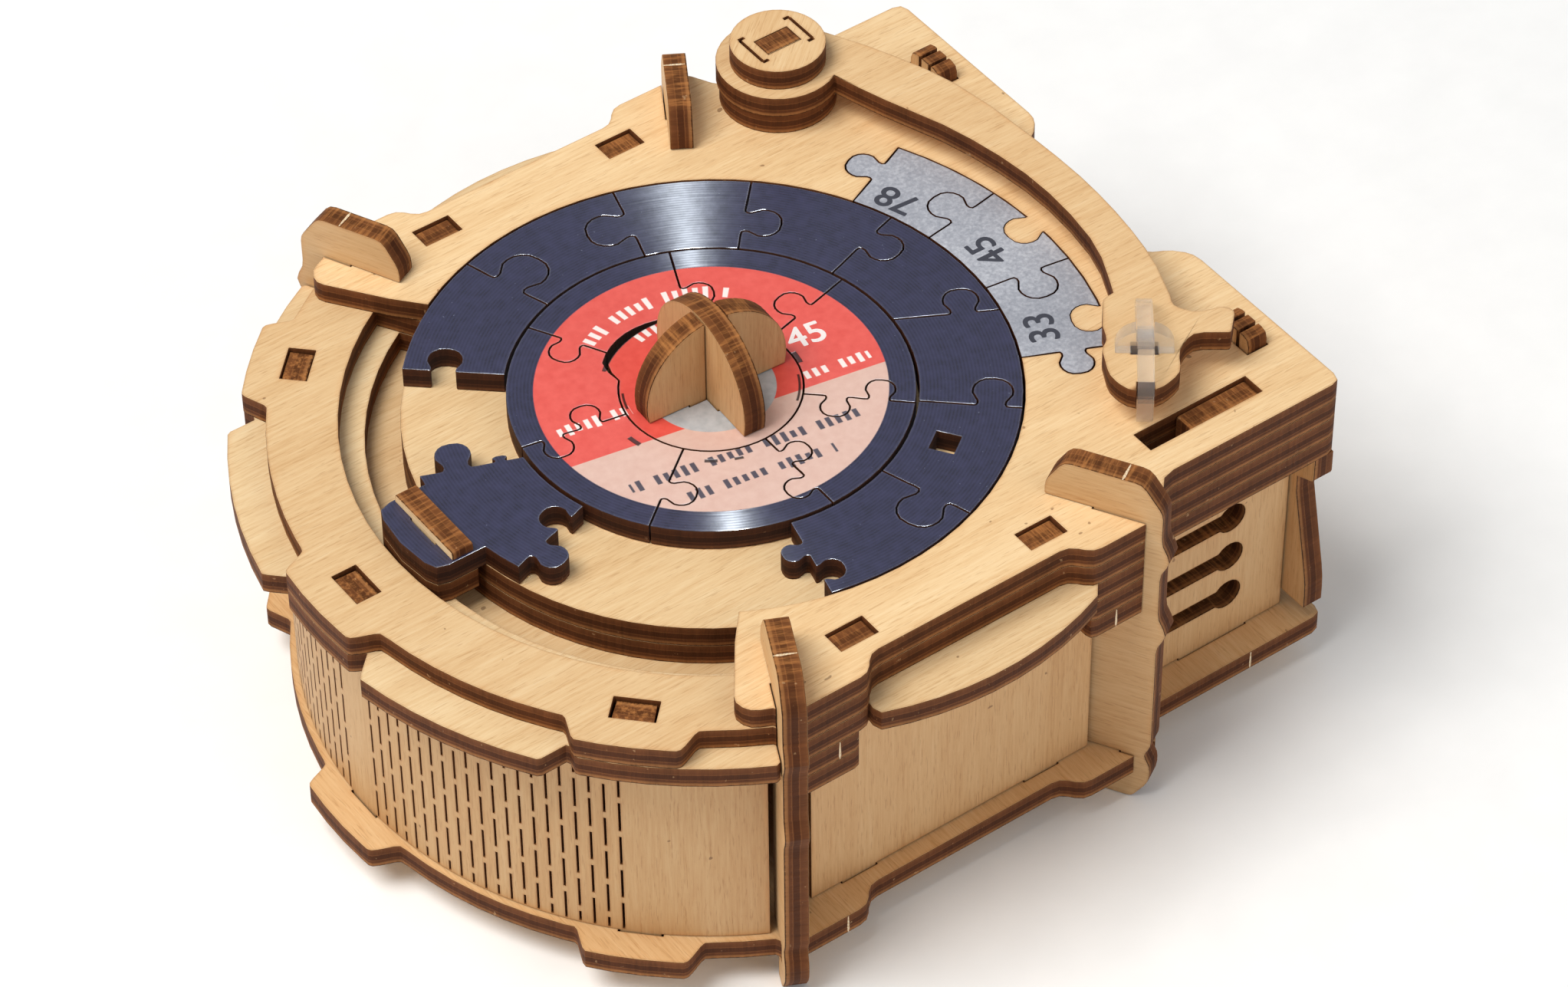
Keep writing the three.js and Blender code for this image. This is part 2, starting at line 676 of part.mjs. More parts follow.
// Cuts of the ring, anticlockwise from the end in front of the slider to the one behind it.
const ringCuts = [
  { angle: -103.8, knobs: [{ at: 0.38, size: 3.4, side: -1 }, { at: 0.72, size: 3.4, side: 1 }] },
  { angle: -71.5, knobs: [{ at: 0.6, size: 6.2, side: -1 }] },
  { angle: -42, knobs: [{ at: 0.7, size: 5.3, side: 1 }] },
  { angle: -11.5, lean: -7, knobs: [{ at: 0.66, size: 4.8, side: 1 }] },
  { angle: 18, knobs: [{ at: 0.6, size: 5.3, side: -1 }] },
  { angle: 46.8, knobs: [{ at: 0.4, size: 5.3, side: -1 }] },
  { angle: 73.5, knobs: [{ at: 0.48, size: 6.2, side: 1 }] },
  { angle: 107.6, knobs: [{ at: 0.48, size: 6.6, side: -1 }] },
  { angle: 138.7, knobs: [{ at: 0.6, size: 4.4, side: -1 }] },
].map((cut) => radialCut(RING_IN_R, RECORD_R, cut));

ringCuts.slice(0, -1).forEach((cut, i) => {
  const outline = ringPiece(RING_IN_R, RECORD_R, cut, ringCuts[i + 1]);
  const hasSquareHole = i === 1;
  const holes = hasSquareHole ? [radialSlot(-55.3, 28.4, 31.6, 3.2)] : [];
  add(`ring_piece_${i + 1}`, pierce(extrude(outline), holes), VINYL, layerZ(1));
});

['33', '45', '78'].forEach((speed, i) => {
  const outline = ringPiece(STRIP_IN_R, STRIP_OUT_R - 0.1, stripCuts[i], stripCuts[i + 1]);
  const piece = pierce(extrude(outline), STRIP_KEYS.map((degrees) => stripKey(degrees, 0)));
  add(`speed_piece_${speed}`, piece, GREY, layerZ(1));
});

// ---- Record label: turns about the record's axis ----

const crossSlot = (length) => [
  rectangle(-length / 2, -SHEET / 2 - FIT, length / 2, SHEET / 2 + FIT),
  rectangle(-SHEET / 2 - FIT, -length / 2, SHEET / 2 + FIT, length / 2),
];
const TENON_HALF = 4;
const KNOB_TURN = -3; // degrees
const crossHoles = crossSlot(2 * (TENON_HALF + FIT)).map((outline) =>
  outline.map((p) => p.rotateAround(point(0, 0), THREE.MathUtils.degToRad(KNOB_TURN))));

// The core is a disc that grows wider towards the clip slot.
function coreOutline(grow, slotWidth) {
  const lobe = { from: 64, to: 128, blend: 9 };
  const points = [];
  for (let degrees = 0; degrees < 360; degrees += 6) {
    const inside = Math.min(degrees - lobe.from, lobe.to - degrees) / lobe.blend + 1;
    const rise = THREE.MathUtils.smoothstep(inside, 0, 1);
    const slot = degrees >= 84 && degrees <= 132 ? slotWidth * Math.sin(((degrees - 78) / 60) * Math.PI) : 0;
    points.push(polar(CORE_R + (CORE_LOBE_R - CORE_R) * rise + grow + slot, degrees));
  }
  return points;
}

const labelCuts = [
  { angle: -142.5, knobs: [{ at: 0.56, size: 4.3, side: 1 }] },
  { angle: -90, knobs: [{ at: 0.33, size: 3.8, side: 1 }, { at: 0.69, size: 3.8, side: -1 }] },
  { angle: -43, knobs: [{ at: 0.33, size: 3.9, side: -1 }, { at: 0.69, size: 3.9, side: 1 }] },
  { angle: 14, knobs: [{ at: 0.48, size: 4.4, side: 1 }] },
  { angle: 66.5, knobs: [{ at: 0.42, size: 4.3, side: -1 }] },
  { angle: 118.5, knobs: [{ at: 0.58, size: 4.2, side: 1 }] },
  { angle: 168.8, knobs: [{ at: 0.36, size: 4, side: -1 }, { at: 0.72, size: 4, side: 1 }] },
].map((cut) => radialCut(CORE_R - 0.6, LABEL_R, cut));

labelCuts.forEach((cut, i) => {
  const outline = ringPiece(CORE_R - 0.6, LABEL_R, cut, labelCuts[(i + 1) % labelCuts.length]);
  const piece = pierce(extrude(outline), [coreOutline(KERF / 2, 0.9)]);
  add(`label_piece_${i + 1}`, piece, RED, layerZ(1) + RUN);
});
add('label_core', pierce(extrude(coreOutline(-KERF / 2, 0)), crossHoles), RED, layerZ(1) + RUN);

// Finger knob: two crossed plates that pass down through the core to the washer under the floor.
const KNOB_ARC = { radius: 10, centreZ: 50.4 };
const KNOB_FOOT = layerZ(5) - 0.2;
function knobOutline() {
  const { radius, centreZ } = KNOB_ARC;
  const seat = TOP_Z + 2 * RUN;
  const start = THREE.MathUtils.radToDeg(Math.asin((seat - centreZ) / radius));
  return [
    ...arc(radius, start, 180 - start, point(0, centreZ), 7),
    point(-TENON_HALF, seat),
    point(-TENON_HALF, KNOB_FOOT),
    point(TENON_HALF, KNOB_FOOT),
    point(TENON_HALF, seat),
  ];
}

const halfSlot = SHEET / 2 + FIT;
const lapZ = 46.8; // the two plates meet here
const longPlate = pierce(extrude(knobOutline()), [rectangle(-halfSlot, 0, halfSlot, lapZ + FIT)]);
const crossPlate = pierce(extrude(knobOutline()), [rectangle(-halfSlot, lapZ, halfSlot, 70)]);
addStanding('knob_plate_long', longPlate, DARK_BIRCH, { x: 0, y: 0, heading: 90 + KNOB_TURN });
addStanding('knob_plate_cross', crossPlate, DARK_BIRCH, { x: 0, y: 0, heading: KNOB_TURN });
add('hub_washer', pierce(extrude(circle(9, point(0, 0), 12)), crossHoles), BIRCH, KNOB_FOOT);

// ---- Slider: a loose record piece that runs in the channel ----

const sliderCuts = [
  {
    angle: 169.8,
    lean: -4.6,
    knobs: [{ at: 0.22, size: 2.2, side: -1, rise: 0.5 }, { at: 0.64, size: 5, side: -1 }],
  },
  { angle: 198, knobs: [{ at: 0.28, size: 3.7, side: -1 }, { at: 0.7, size: 4.4, side: 1 }] },
].map((cut) => radialCut(RING_IN_R + 0.1, RECORD_R, cut));
const EXTENSION_HALF = 6.5;
const SHOE_R = TRACK_OUT_R - 0.4;
const sliderNeck = (innerX) => rounded([
  [innerX, -EXTENSION_HALF],
  [innerX, EXTENSION_HALF],
  [-SHOE_R + 0.7, EXTENSION_HALF, 2],
  [-SHOE_R, 0],
  [-SHOE_R + 0.7, -EXTENSION_HALF, 2],
]);
const TENON = { x0: -41.9, x1: -38.9, half: 2.6 };
const tenonHole = rectangle(TENON.x0 - FIT, -TENON.half - FIT, TENON.x1 + FIT, TENON.half + FIT);
const sliderOutline = ringPiece(RING_IN_R + 0.1, RECORD_R, ...sliderCuts);
const sliderBody = join([extrude(sliderOutline), extrude(sliderNeck(-35))]);
add('slider_record_piece', pierce(sliderBody, [tenonHole]), VINYL, layerZ(1) + RUN);
add('slider_shoe', pierce(extrude(sliderNeck(-38.6)), [tenonHole]), BIRCH, layerZ(2) + RUN);

const handleOutline = rounded([
  [-TENON.half, layerZ(2) + RUN],
  [TENON.half, layerZ(2) + RUN],
  [TENON.half, TOP_Z + RUN],
  [6.2, TOP_Z + RUN],
  [6.2, 49.3, 0.4],
  [-6.2, 49.3, 0.4],
  [-6.2, TOP_Z + RUN],
  [-TENON.half, TOP_Z + RUN],
]);
addStanding('slider_handle', extrude(handleOutline), DARK_BIRCH, {
  x: (TENON.x0 + TENON.x1) / 2,
  y: 0,
  heading: 90,
});

// ---- Tonearm: swings about the pivot pin ----

const ARM_Z = TOP_Z + SHEET + RUN;
const pinHole = rectangle(
  HUB.x - PIN.width / 2 - 0.1,
  HUB.y - PIN.thickness / 2 - 0.1,
  HUB.x + PIN.width / 2 + 0.1,
  HUB.y + PIN.thickness / 2 + 0.1,
);

add('arm_base_disc', pierce(extrude(circle(7.6, HUB)), [hubHole]), BIRCH, TOP_Z);

// The arm is a bow from the hub to a head shaped like a jigsaw piece.
const bow = (knots, count) => new THREE.SplineCurve(knots.map(([x, y]) => point(x, y))).getPoints(count);
const headCorners = [
  [45.6, -20.9], [43.9, -21, 0.6], [40.8, -24.8, 0.6], [39.8, -27, 0.6], [38.2, -28, 0.6], [36, -32.2, 1.2],
  [36.2, -35.4, 1.2], [38, -37.3, 0.8], [40.2, -37.6, 0.8], [43.4, -36.9, 1.2], [45.6, -33.6, 1.4],
  [48.9, -32.2, 1.4], [52.7, -35, 0.4], [55.6, -32.2, 0.8], [55, -30.8, 0.6], [51.4, -29.6, 1],
  [50, -27, 0.8], [50.9, -25.5],
];
const armOutline = [
  ...bow([[42.5, 32.5], [44.5, 25.8], [48.6, 14], [50.6, 1], [49.4, -12], [45.6, -20.9]], 14),
  ...rounded(headCorners, 2).slice(1, -1),
  ...bow([[50.9, -25.5], [53.6, -18], [55.3, -8], [55.7, 3], [54.4, 20], [50.6, 32], [46.2, 41]], 16),
];

// Stylus: two clear half-round plates that cross on the head; the long one ends in a leg.
const STYLUS = { x: 42.45, y: -30.95, heading: 52.8 };
const LEG = { inner: -6, outer: -8.1 };
const slotFor = (from, to, heading) => {
  const half = ACRYLIC / 2 + 0.1;
  return rectangle(from, -half, to, half).map((p) =>
    p.rotateAround(point(0, 0), THREE.MathUtils.degToRad(heading)).add(point(STYLUS.x, STYLUS.y)));
};
const CROSS_TENON = 1.6;
const tonearmBlank = join([extrude(armOutline), extrude(circle(8, HUB))]);
add('tonearm', pierce(tonearmBlank, [
  pinHole,
  slotFor(LEG.outer - 3, LEG.inner + 0.1, STYLUS.heading),
  slotFor(-CROSS_TENON - 0.1, CROSS_TENON + 0.1, STYLUS.heading + 90),
]), BIRCH, ARM_Z);

// The cap has two bracket-shaped slits beside the pin, open towards each other at their feet.
const bracketSlit = (side) => {
  const x = HUB.x + side * 3.9;
  const foot = HUB.x + side * 3.2;
  const [near, far] = [Math.min(x, foot), Math.max(x, foot)];
  return [
    rectangle(x - 0.2, HUB.y - 2.2, x + 0.2, HUB.y + 2.8),
    rectangle(near - 0.1, HUB.y - 2.6, far + 0.1, HUB.y - 2.15),
    rectangle(near - 0.1, HUB.y + 2.75, far + 0.1, HUB.y + 3.2),
  ];
};
add('tonearm_cap', pierce(extrude(circle(6.2, HUB)), [pinHole, ...bracketSlit(1), ...bracketSlit(-1)]),
  BIRCH, ARM_Z + SHEET);
const pinFoot = layerZ(4) + RUN;
const pinOutline = rectangle(-PIN.width / 2, pinFoot, PIN.width / 2, ARM_Z + 2 * SHEET);
addStanding('pivot_pin', extrude(pinOutline), DARK_BIRCH, { x: HUB.x, y: HUB.y });
add('pivot_washer', pierce(extrude(circle(WASHER_R, HUB, 15), SHEET - 2 * RUN), [pinHole]), BIRCH, pinFoot);

const plateFoot = ARM_Z + SHEET + 0.05;
const plateTop = plateFoot + 4;
const stylusLap = plateFoot + 2;
const lapHalf = ACRYLIC / 2 + 0.1;
const halfRound = (from, to) => new THREE.CubicBezierCurve(
  point(to, plateFoot + 0.6),
  point(to - 0.4, plateTop + 0.6),
  point(from + 0.4, plateTop + 0.6),
  point(from, plateFoot + 0.6),
).getPoints(14);
const longStylus = [
  ...halfRound(LEG.outer, 7.6),
  point(LEG.outer, ARM_Z - 1.2),
  point((LEG.outer + LEG.inner) / 2, TOP_Z + 0.5),
  point(LEG.inner, ARM_Z - 0.4),
  point(LEG.inner, plateFoot),
  point(7.6, plateFoot),
];
const crossStylus = [
  ...halfRound(-3.6, 3.6),
  point(-3.6, plateFoot),
  point(-CROSS_TENON, plateFoot),
  point(-CROSS_TENON, ARM_Z + 0.1),
  point(CROSS_TENON, ARM_Z + 0.1),
  point(CROSS_TENON, plateFoot),
  point(3.6, plateFoot),
];
const clear = { x: STYLUS.x, y: STYLUS.y, thickness: ACRYLIC };
addStanding('stylus_plate_long',
  pierce(
    extrude(longStylus, ACRYLIC),
    [rectangle(-lapHalf, plateFoot - 1, lapHalf, stylusLap + 0.1)],
    ACRYLIC,
  ),
  CLEAR, { ...clear, heading: STYLUS.heading });
addStanding('stylus_plate_cross',
  pierce(extrude(crossStylus, ACRYLIC), [rectangle(-lapHalf, stylusLap, lapHalf, plateTop + 2)], ACRYLIC),
  CLEAR, { ...clear, heading: STYLUS.heading + 90 });

export default group;
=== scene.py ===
"""Looks for the turntable puzzle box: laser-cut birch plywood, printed record sheets and a clear stylus."""

import json
import math

import bpy
from mathutils import Matrix, Vector


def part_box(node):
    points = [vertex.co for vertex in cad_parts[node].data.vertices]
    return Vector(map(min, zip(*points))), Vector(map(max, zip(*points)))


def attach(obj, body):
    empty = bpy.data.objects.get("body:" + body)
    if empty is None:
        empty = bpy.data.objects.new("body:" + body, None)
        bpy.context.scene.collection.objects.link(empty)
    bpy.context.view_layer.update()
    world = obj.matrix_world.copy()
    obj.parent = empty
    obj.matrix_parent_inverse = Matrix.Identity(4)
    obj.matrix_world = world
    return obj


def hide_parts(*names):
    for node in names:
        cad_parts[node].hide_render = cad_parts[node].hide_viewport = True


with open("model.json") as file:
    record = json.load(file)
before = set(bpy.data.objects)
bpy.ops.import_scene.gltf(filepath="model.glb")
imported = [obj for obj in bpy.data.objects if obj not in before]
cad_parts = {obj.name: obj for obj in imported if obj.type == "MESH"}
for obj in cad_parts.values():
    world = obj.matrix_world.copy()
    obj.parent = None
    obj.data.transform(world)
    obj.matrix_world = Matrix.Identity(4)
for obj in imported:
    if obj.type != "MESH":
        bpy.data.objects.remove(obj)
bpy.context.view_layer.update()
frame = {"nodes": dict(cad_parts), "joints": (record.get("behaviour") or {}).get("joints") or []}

MM = 0.001
SHEET = 3 * MM
NODES = frame["nodes"]
JOINTS = {joint["name"]: joint for joint in frame["joints"]}
AXIS = Vector(JOINTS["label_turn"]["pos_m"])  # record's axis, at the record's top face
X, Y, Z = Vector((1, 0, 0)), Vector((0, 1, 0)), Vector((0, 0, 1))


def srgb(red, green, blue):
    """Display colour, 0 to 255, as the linear colour a shader needs."""
    channels = [c / 255 for c in (red, green, blue)]
    return [c / 12.92 if c <= 0.04045 else ((c + 0.055) / 1.055) ** 2.4 for c in channels] + [1]


def direction(degrees):
    """Level unit vector at an angle from the X axis."""
    return Vector((math.cos(math.radians(degrees)), math.sin(math.radians(degrees)), 0))


# ---- Materials. Noise scales are cells per metre, so 1000 gives cells of 1 mm. ----


class Shader:
    """A material's node tree, built by short calls that each return the socket they make."""

    def __init__(self, name):
        self.material = bpy.data.materials.new(name)
        self.material.use_nodes = True
        self.tree = self.material.node_tree
        self.tree.nodes.clear()
        self.place = self.node("ShaderNodeTexCoord").outputs["Object"]
        flat = self.node("ShaderNodeNewGeometry").outputs["True Normal"]
        turned = self.node("ShaderNodeVectorTransform", {0: flat}, vector_type="NORMAL",
                           convert_from="WORLD", convert_to="OBJECT")
        unit = self.node("ShaderNodeVectorMath", {0: turned.outputs[0]}, operation="NORMALIZE")
        self.facing = unit.outputs["Vector"]
        self.seed = self.node("ShaderNodeObjectInfo").outputs["Random"]

    def node(self, kind, inputs=None, **settings):
        made = self.tree.nodes.new(kind)
        for key, value in settings.items():
            setattr(made, key, value)
        for key, value in (inputs or {}).items():
            self.feed(made.inputs[key], value)
        return made

    def feed(self, socket, value):
        if isinstance(value, bpy.types.NodeSocket):
            self.tree.links.new(value, socket)
        else:
            socket.default_value = value

    def math(self, operation, a, b=0.0, c=0.0):
        return self.node("ShaderNodeMath", {0: a, 1: b, 2: c}, operation=operation).outputs[0]

    def product(self, *factors):
        total = factors[0]
        for factor in factors[1:]:
            total = self.math("MULTIPLY", total, factor)
        return total

    def union(self, *masks):
        total = masks[0]
        for mask in masks[1:]:
            total = self.math("MAXIMUM", total, mask)
        return total

    def dot(self, a, b):
        return self.node("ShaderNodeVectorMath", {0: a, 1: b}, operation="DOT_PRODUCT").outputs["Value"]

    def vector(self, operation, a, b):
        return self.node("ShaderNodeVectorMath", {0: a, 1: b}, operation=operation).outputs["Vector"]

    def scaled(self, vector, factor):
        made = self.node("ShaderNodeVectorMath", {0: vector, "Scale": factor}, operation="SCALE")
        return made.outputs["Vector"]

    def combine(self, x, y, z):
        return self.node("ShaderNodeCombineXYZ", {0: x, 1: y, 2: z}).outputs[0]

    def split(self, vector):
        return self.node("ShaderNodeSeparateXYZ", {0: vector}).outputs

    def step(self, value, low, high):
        """0 below low, 1 above high, smooth between; the other way round when low is the larger."""
        inputs = {"Value": value, "From Min": low, "From Max": high}
        return self.node("ShaderNodeMapRange", inputs, interpolation_type="SMOOTHSTEP").outputs[0]

    def within(self, value, centre, half, soft):
        """1 where value is within half of centre."""
        off = self.math("ABSOLUTE", self.math("SUBTRACT", value, centre))
        return self.step(off, half + soft, half - soft)

    def between(self, value, start, end, soft):
        """1 where value lies from start to end."""
        return self.within(value, (start + end) / 2, (end - start) / 2, soft)

    def noise(self, vector, scale, detail=3.0, roughness=0.55, distortion=0.0):
        inputs = {"Vector": vector, "Scale": scale, "Detail": detail, "Roughness": roughness,
                  "Distortion": distortion}
        return self.node("ShaderNodeTexNoise", inputs).outputs[0]

    def mix(self, factor, a, b, blend="MIX"):
        """Colour a, blended towards colour b by factor."""
        made = self.node("ShaderNodeMix", data_type="RGBA", blend_type=blend)
        for index, value in ((0, factor), (6, a), (7, b)):
            self.feed(made.inputs[index], value)
        return made.outputs[2]

    def blend_value(self, factor, a, b):
        """Number a, blended towards number b by factor."""
        return self.node("ShaderNodeMapRange", {"Value": factor, "To Min": a, "To Max": b}).outputs[0]

    def ramp(self, value, stops):
        """Colour read from stops of (position, colour)."""
        made = self.node("ShaderNodeValToRGB", {0: value})
        elements = made.color_ramp.elements
        while len(elements) < len(stops):
            elements.new(0.5)
        for element, (position, colour) in zip(elements, stops):
            element.position = position
            element.color = colour
        return made.outputs[0]

    def near_edge(self, radius):
        """0 on a flat face, rising to about 0.3 at a sharp edge; radius is how far in it reaches."""
        rounded = self.node("ShaderNodeBevel", {"Radius": radius}, samples=4).outputs[0]
        flat = self.node("ShaderNodeNewGeometry").outputs["True Normal"]
        return self.math("SUBTRACT", 1.0, self.dot(rounded, flat))

    def finish(self, **inputs):
        bsdf = self.node("ShaderNodeBsdfPrincipled", inputs)
        output = self.node("ShaderNodeOutputMaterial")
        self.tree.links.new(bsdf.outputs[0], output.inputs["Surface"])
        return self.material


FACE_COSINES = (0.6, 0.8)  # cosine to the sheet's normal: some of a face from the first, all from the second
STREAK_DRAW = 0.88  # how far the streaks on a cut edge are drawn out through the sheet
SEED_SHIFT = 3.7  # metres of wood between the grain of one sheet and another's


class Ply:
    """Coordinates in a plywood sheet: along and across the grain, and through the sheet."""

    def __init__(self, shader, normal, centre, grain):
        s = self.shader = shader
        self.lies_flat = normal is not None and normal.z > 0.5
        if normal is None:  # sheet bent round the record's axis, grain upright, centre is its middle radius
            x, y, z = s.split(s.vector("SUBTRACT", s.place, AXIS))
            radius = s.math("SQRT", s.math("ADD", s.product(x, x), s.product(y, y)))
            outward = s.node("ShaderNodeVectorMath", {0: s.combine(x, y, 0.0)}, operation="NORMALIZE")
            self.along = z
            self.across = s.product(s.math("ARCTAN2", y, s.product(x, -1.0)), centre)
            self.through = s.math("SUBTRACT", radius, centre)
            self.facing = s.dot(s.facing, outward.outputs["Vector"])
            edge_place = s.place
        else:
            offset = s.vector("SUBTRACT", s.place, centre)
            self.along = s.dot(offset, grain)
            self.across = s.dot(offset, normal.cross(grain))
            self.through = s.dot(offset, normal)
            self.facing = s.dot(s.facing, normal)
            pull = s.scaled(normal, s.product(self.through, STREAK_DRAW))
            edge_place = s.vector("SUBTRACT", offset, pull)
        self.edge_place = edge_place
        self.is_face = s.step(s.math("ABSOLUTE", self.facing), *FACE_COSINES)
        self.along = s.math("ADD", self.along, s.product(s.seed, SEED_SHIFT))

    def upper_face(self):
        """Mask of the sheet's upper face, where its print is."""
        return self.shader.step(self.facing, *FACE_COSINES)

    def grain(self, stretch, scale, **settings):
        """Noise drawn out along the grain: the smaller stretch is, the longer the fibres."""
        s = self.shader
        place = s.combine(s.product(self.along, stretch), self.across, self.through)
        return s.noise(place, scale, **settings)


PALE = [(0.26, srgb(202, 158, 106)), (0.42, srgb(226, 188, 138)), (0.56, srgb(236, 203, 155)),
        (0.76, srgb(244, 219, 178))]
PORE = srgb(176, 126, 76)
KNOT = srgb(112, 72, 42)
TINT_LOSS = (0, 0.56, 1.05)  # red, green and blue: a darker sheet is also warmer
FIBRE_SCALE = 2600
FIGURE_SCALE = 150
PORE_SCALE = 5600
KNOT_SCALE = 760

PLIES = [  # share of the way through the sheet, colour of its cut edge
    (0.0, srgb(36, 20, 12)), (0.035, srgb(60, 36, 23)), (0.075, srgb(140, 100, 66)),
    (0.17, srgb(132, 92, 60)), (0.22, srgb(92, 57, 36)), (0.31, srgb(90, 55, 35)),
    (0.345, srgb(116, 76, 48)), (0.38, srgb(74, 43, 27)), (0.62, srgb(76, 45, 28)),
    (0.655, srgb(116, 76, 48)), (0.69, srgb(94, 58, 37)), (0.91, srgb(104, 66, 42)),
    (0.965, srgb(118, 80, 52)), (1.0, srgb(46, 27, 16)),
]
EDGE_TINT = [1.06, 0.93, 0.76, 1]
END_FIBRE = srgb(184, 130, 80)
CHIPPED = srgb(190, 150, 108)
STREAK_SCALE = 1700
CHAR_SCALE = 260
CHIP_SCALE = 1100

TOAST = srgb(158, 104, 58)
TOAST_REACH = 0.55 * MM
SCORCH = srgb(214, 146, 82)
SCORCH_REACH = 1.7 * MM
# Pale grey on the print near cut edges: partly the print's whitish cut edge, partly a painted highlight.
PALE_PRINT_EDGE_AND_HIGHLIGHT = srgb(150, 150, 160)
PRINTED_EDGE = srgb(168, 160, 168)
FACE_RELIEF = 0.03 * MM
EDGE_RELIEF = 0.16 * MM
LABEL_EDGE = (21.6, 21.75)  # radius in mm: the label ends at the first, grooves begin at the second


def birch(ply, tone):
    """Bare birch face: (colour, height)."""
    s = ply.shader
    fibre = ply.grain(0.05, FIBRE_SCALE, detail=6.0, roughness=0.7)
    figure = ply.grain(0.09, FIGURE_SCALE, detail=3.0, distortion=0.6)
    pores = ply.grain(0.07, PORE_SCALE, detail=2.0)
    knots = s.noise(s.place, KNOT_SCALE, detail=0.0)
    shade = s.math("ADD", s.product(fibre, 0.62), s.product(figure, 0.38))
    colour = s.ramp(shade, PALE)
    colour = s.mix(s.product(s.step(pores, 0.57, 0.7), 0.36), colour, PORE)
    colour = s.mix(s.product(s.step(knots, 0.86, 0.885), 0.6), colour, KNOT)
    warmth = s.math("ADD", 0.9, s.product(s.seed, 0.16))
    tint = [s.product(warmth, tone - loss * tone * (1 - tone)) for loss in TINT_LOSS]
    colour = s.mix(1.0, colour, s.combine(*tint), blend="MULTIPLY")
    return colour, fibre


def burnt_edge(ply):
    """Laser-cut edge with its three plies: (colour, height)."""
    s = ply.shader
    streak = s.noise(ply.edge_place, STREAK_SCALE, detail=4.0, roughness=0.7)
    char = s.noise(s.place, CHAR_SCALE, detail=2.0)
    depth = s.math("ADD", s.math("DIVIDE", ply.through, SHEET), 0.5)
    depth = s.math("ADD", depth, s.product(s.math("SUBTRACT", streak, 0.5), 0.07))
    colour = s.ramp(depth, PLIES)
    light = s.math("ADD", 0.2, s.math("ADD", s.product(streak, 0.95), s.product(char, 0.8)))
    colour = s.mix(1.0, colour, s.combine(light, light, light), blend="MULTIPLY")
    if not ply.lies_flat:
        _, _, upward = s.split(s.facing)
        fibres = s.math("ADD", 0.08, s.product(s.step(streak, 0.42, 0.72), 0.62))
        colour = s.mix(s.product(s.step(upward, 0.5, 0.8), fibres), colour, END_FIBRE)
    colour = s.mix(1.0, colour, EDGE_TINT, blend="MULTIPLY")
    chips = s.step(s.noise(s.place, CHIP_SCALE, detail=2.0), 0.7, 0.76)
    return s.mix(s.product(chips, 0.5), colour, CHIPPED), streak


def plywood(name, normal, centre, grain, tone=1.0, printed=None):
    """Birch plywood with burnt edges. printed(shader) gives the printed face: (colour, roughness, height)."""
    s = Shader(name)
    ply = Ply(s, normal, centre, grain)
    face, fibre = birch(ply, tone)
    edge, streak = burnt_edge(ply)
    near = s.near_edge(TOAST_REACH)
    toast = s.step(near, 0.015, 0.24)
    uneven = s.math("ADD", 0.45, s.product(s.noise(s.place, 420), 0.6))
    halo = s.step(s.near_edge(SCORCH_REACH), 0.01, 0.2)
    scorch = s.product(halo, s.step(s.noise(s.place, 190), 0.4, 0.66), 0.34)
    face = s.mix(scorch, face, SCORCH)
    face = s.mix(s.product(toast, uneven), face, TOAST)
    face_rough = s.math("ADD", 0.46, s.product(fibre, 0.2))
    face_height = s.product(fibre, FACE_RELIEF)
    if printed:
        print_colour, print_rough, print_height = printed(s)
        # The print turns pale grey near cut edges, partly as a painted highlight.
        print_colour = s.mix(s.product(s.step(near, 0.12, 0.28), 0.35), print_colour, PALE_PRINT_EDGE_AND_HIGHLIGHT)
        on_print = ply.upper_face()
        face = s.mix(on_print, face, print_colour)
        edge = s.mix(1.0, edge, PRINTED_EDGE, blend="MULTIPLY")
        face_rough = s.blend_value(on_print, face_rough, print_rough)
        face_height = s.blend_value(on_print, face_height, print_height)
    colour = s.mix(ply.is_face, edge, face)
    height = s.blend_value(ply.is_face, s.product(streak, EDGE_RELIEF), face_height)
    bump = s.node("ShaderNodeBump", {"Height": height, "Distance": 1.0, "Strength": 0.8})
    inputs = {
        "Base Color": colour,
        "Roughness": s.blend_value(ply.is_face, 0.66, face_rough),
        "Normal": bump.outputs[0],
        "Specular IOR Level": s.blend_value(ply.is_face, 0.14, 0.4),
    }
    if printed in (record_print, label_print):
        grooved, tangent = groove_glare(s, ply)
        inputs["Anisotropic"] = grooved
        inputs["Specular IOR Level"] = s.blend_value(grooved, inputs["Specular IOR Level"], 0.95)
        inputs["Tangent"] = tangent
    return s.finish(**inputs)


def groove_glare(s, ply):
    """Where the record is grooved, and the way out from its axis, a little different at each radius."""
    x, y, radius, _ = flat_polar(s)
    grooved = s.product(ply.upper_face(), s.step(radius, *LABEL_EDGE))
    drift = s.noise(s.combine(s.product(radius, 2.6), 0.0, 0.0), 1.0, detail=2.0)
    drift = s.product(s.math("SUBTRACT", drift, 0.5), 0.11)
    radial = s.combine(s.math("SUBTRACT", x, s.product(y, drift)),
                       s.math("ADD", y, s.product(x, drift)), 0.0)
    in_world = s.node("ShaderNodeVectorTransform", {0: radial}, vector_type="VECTOR",
                      convert_from="OBJECT", convert_to="WORLD")
    return grooved, in_world.outputs[0]


def flat_polar(s):
    """Place on the record: x and y from its axis, radius and angle, in mm and degrees."""
    x, y, _ = s.split(s.scaled(s.vector("SUBTRACT", s.place, AXIS), 1 / MM))
    radius = s.math("SQRT", s.math("ADD", s.product(x, x), s.product(y, y)))
    return x, y, radius, s.product(s.math("ARCTAN2", y, x), 180 / math.pi)


NAVY = [(0.3, srgb(36, 36, 58)), (0.7, srgb(50, 50, 79))]
GROOVE_SHEEN = srgb(66, 70, 104)
DUST = srgb(150, 158, 185)
GROOVE_PITCH = 0.44  # mm
GROOVE_RELIEF = 0.0042 * MM


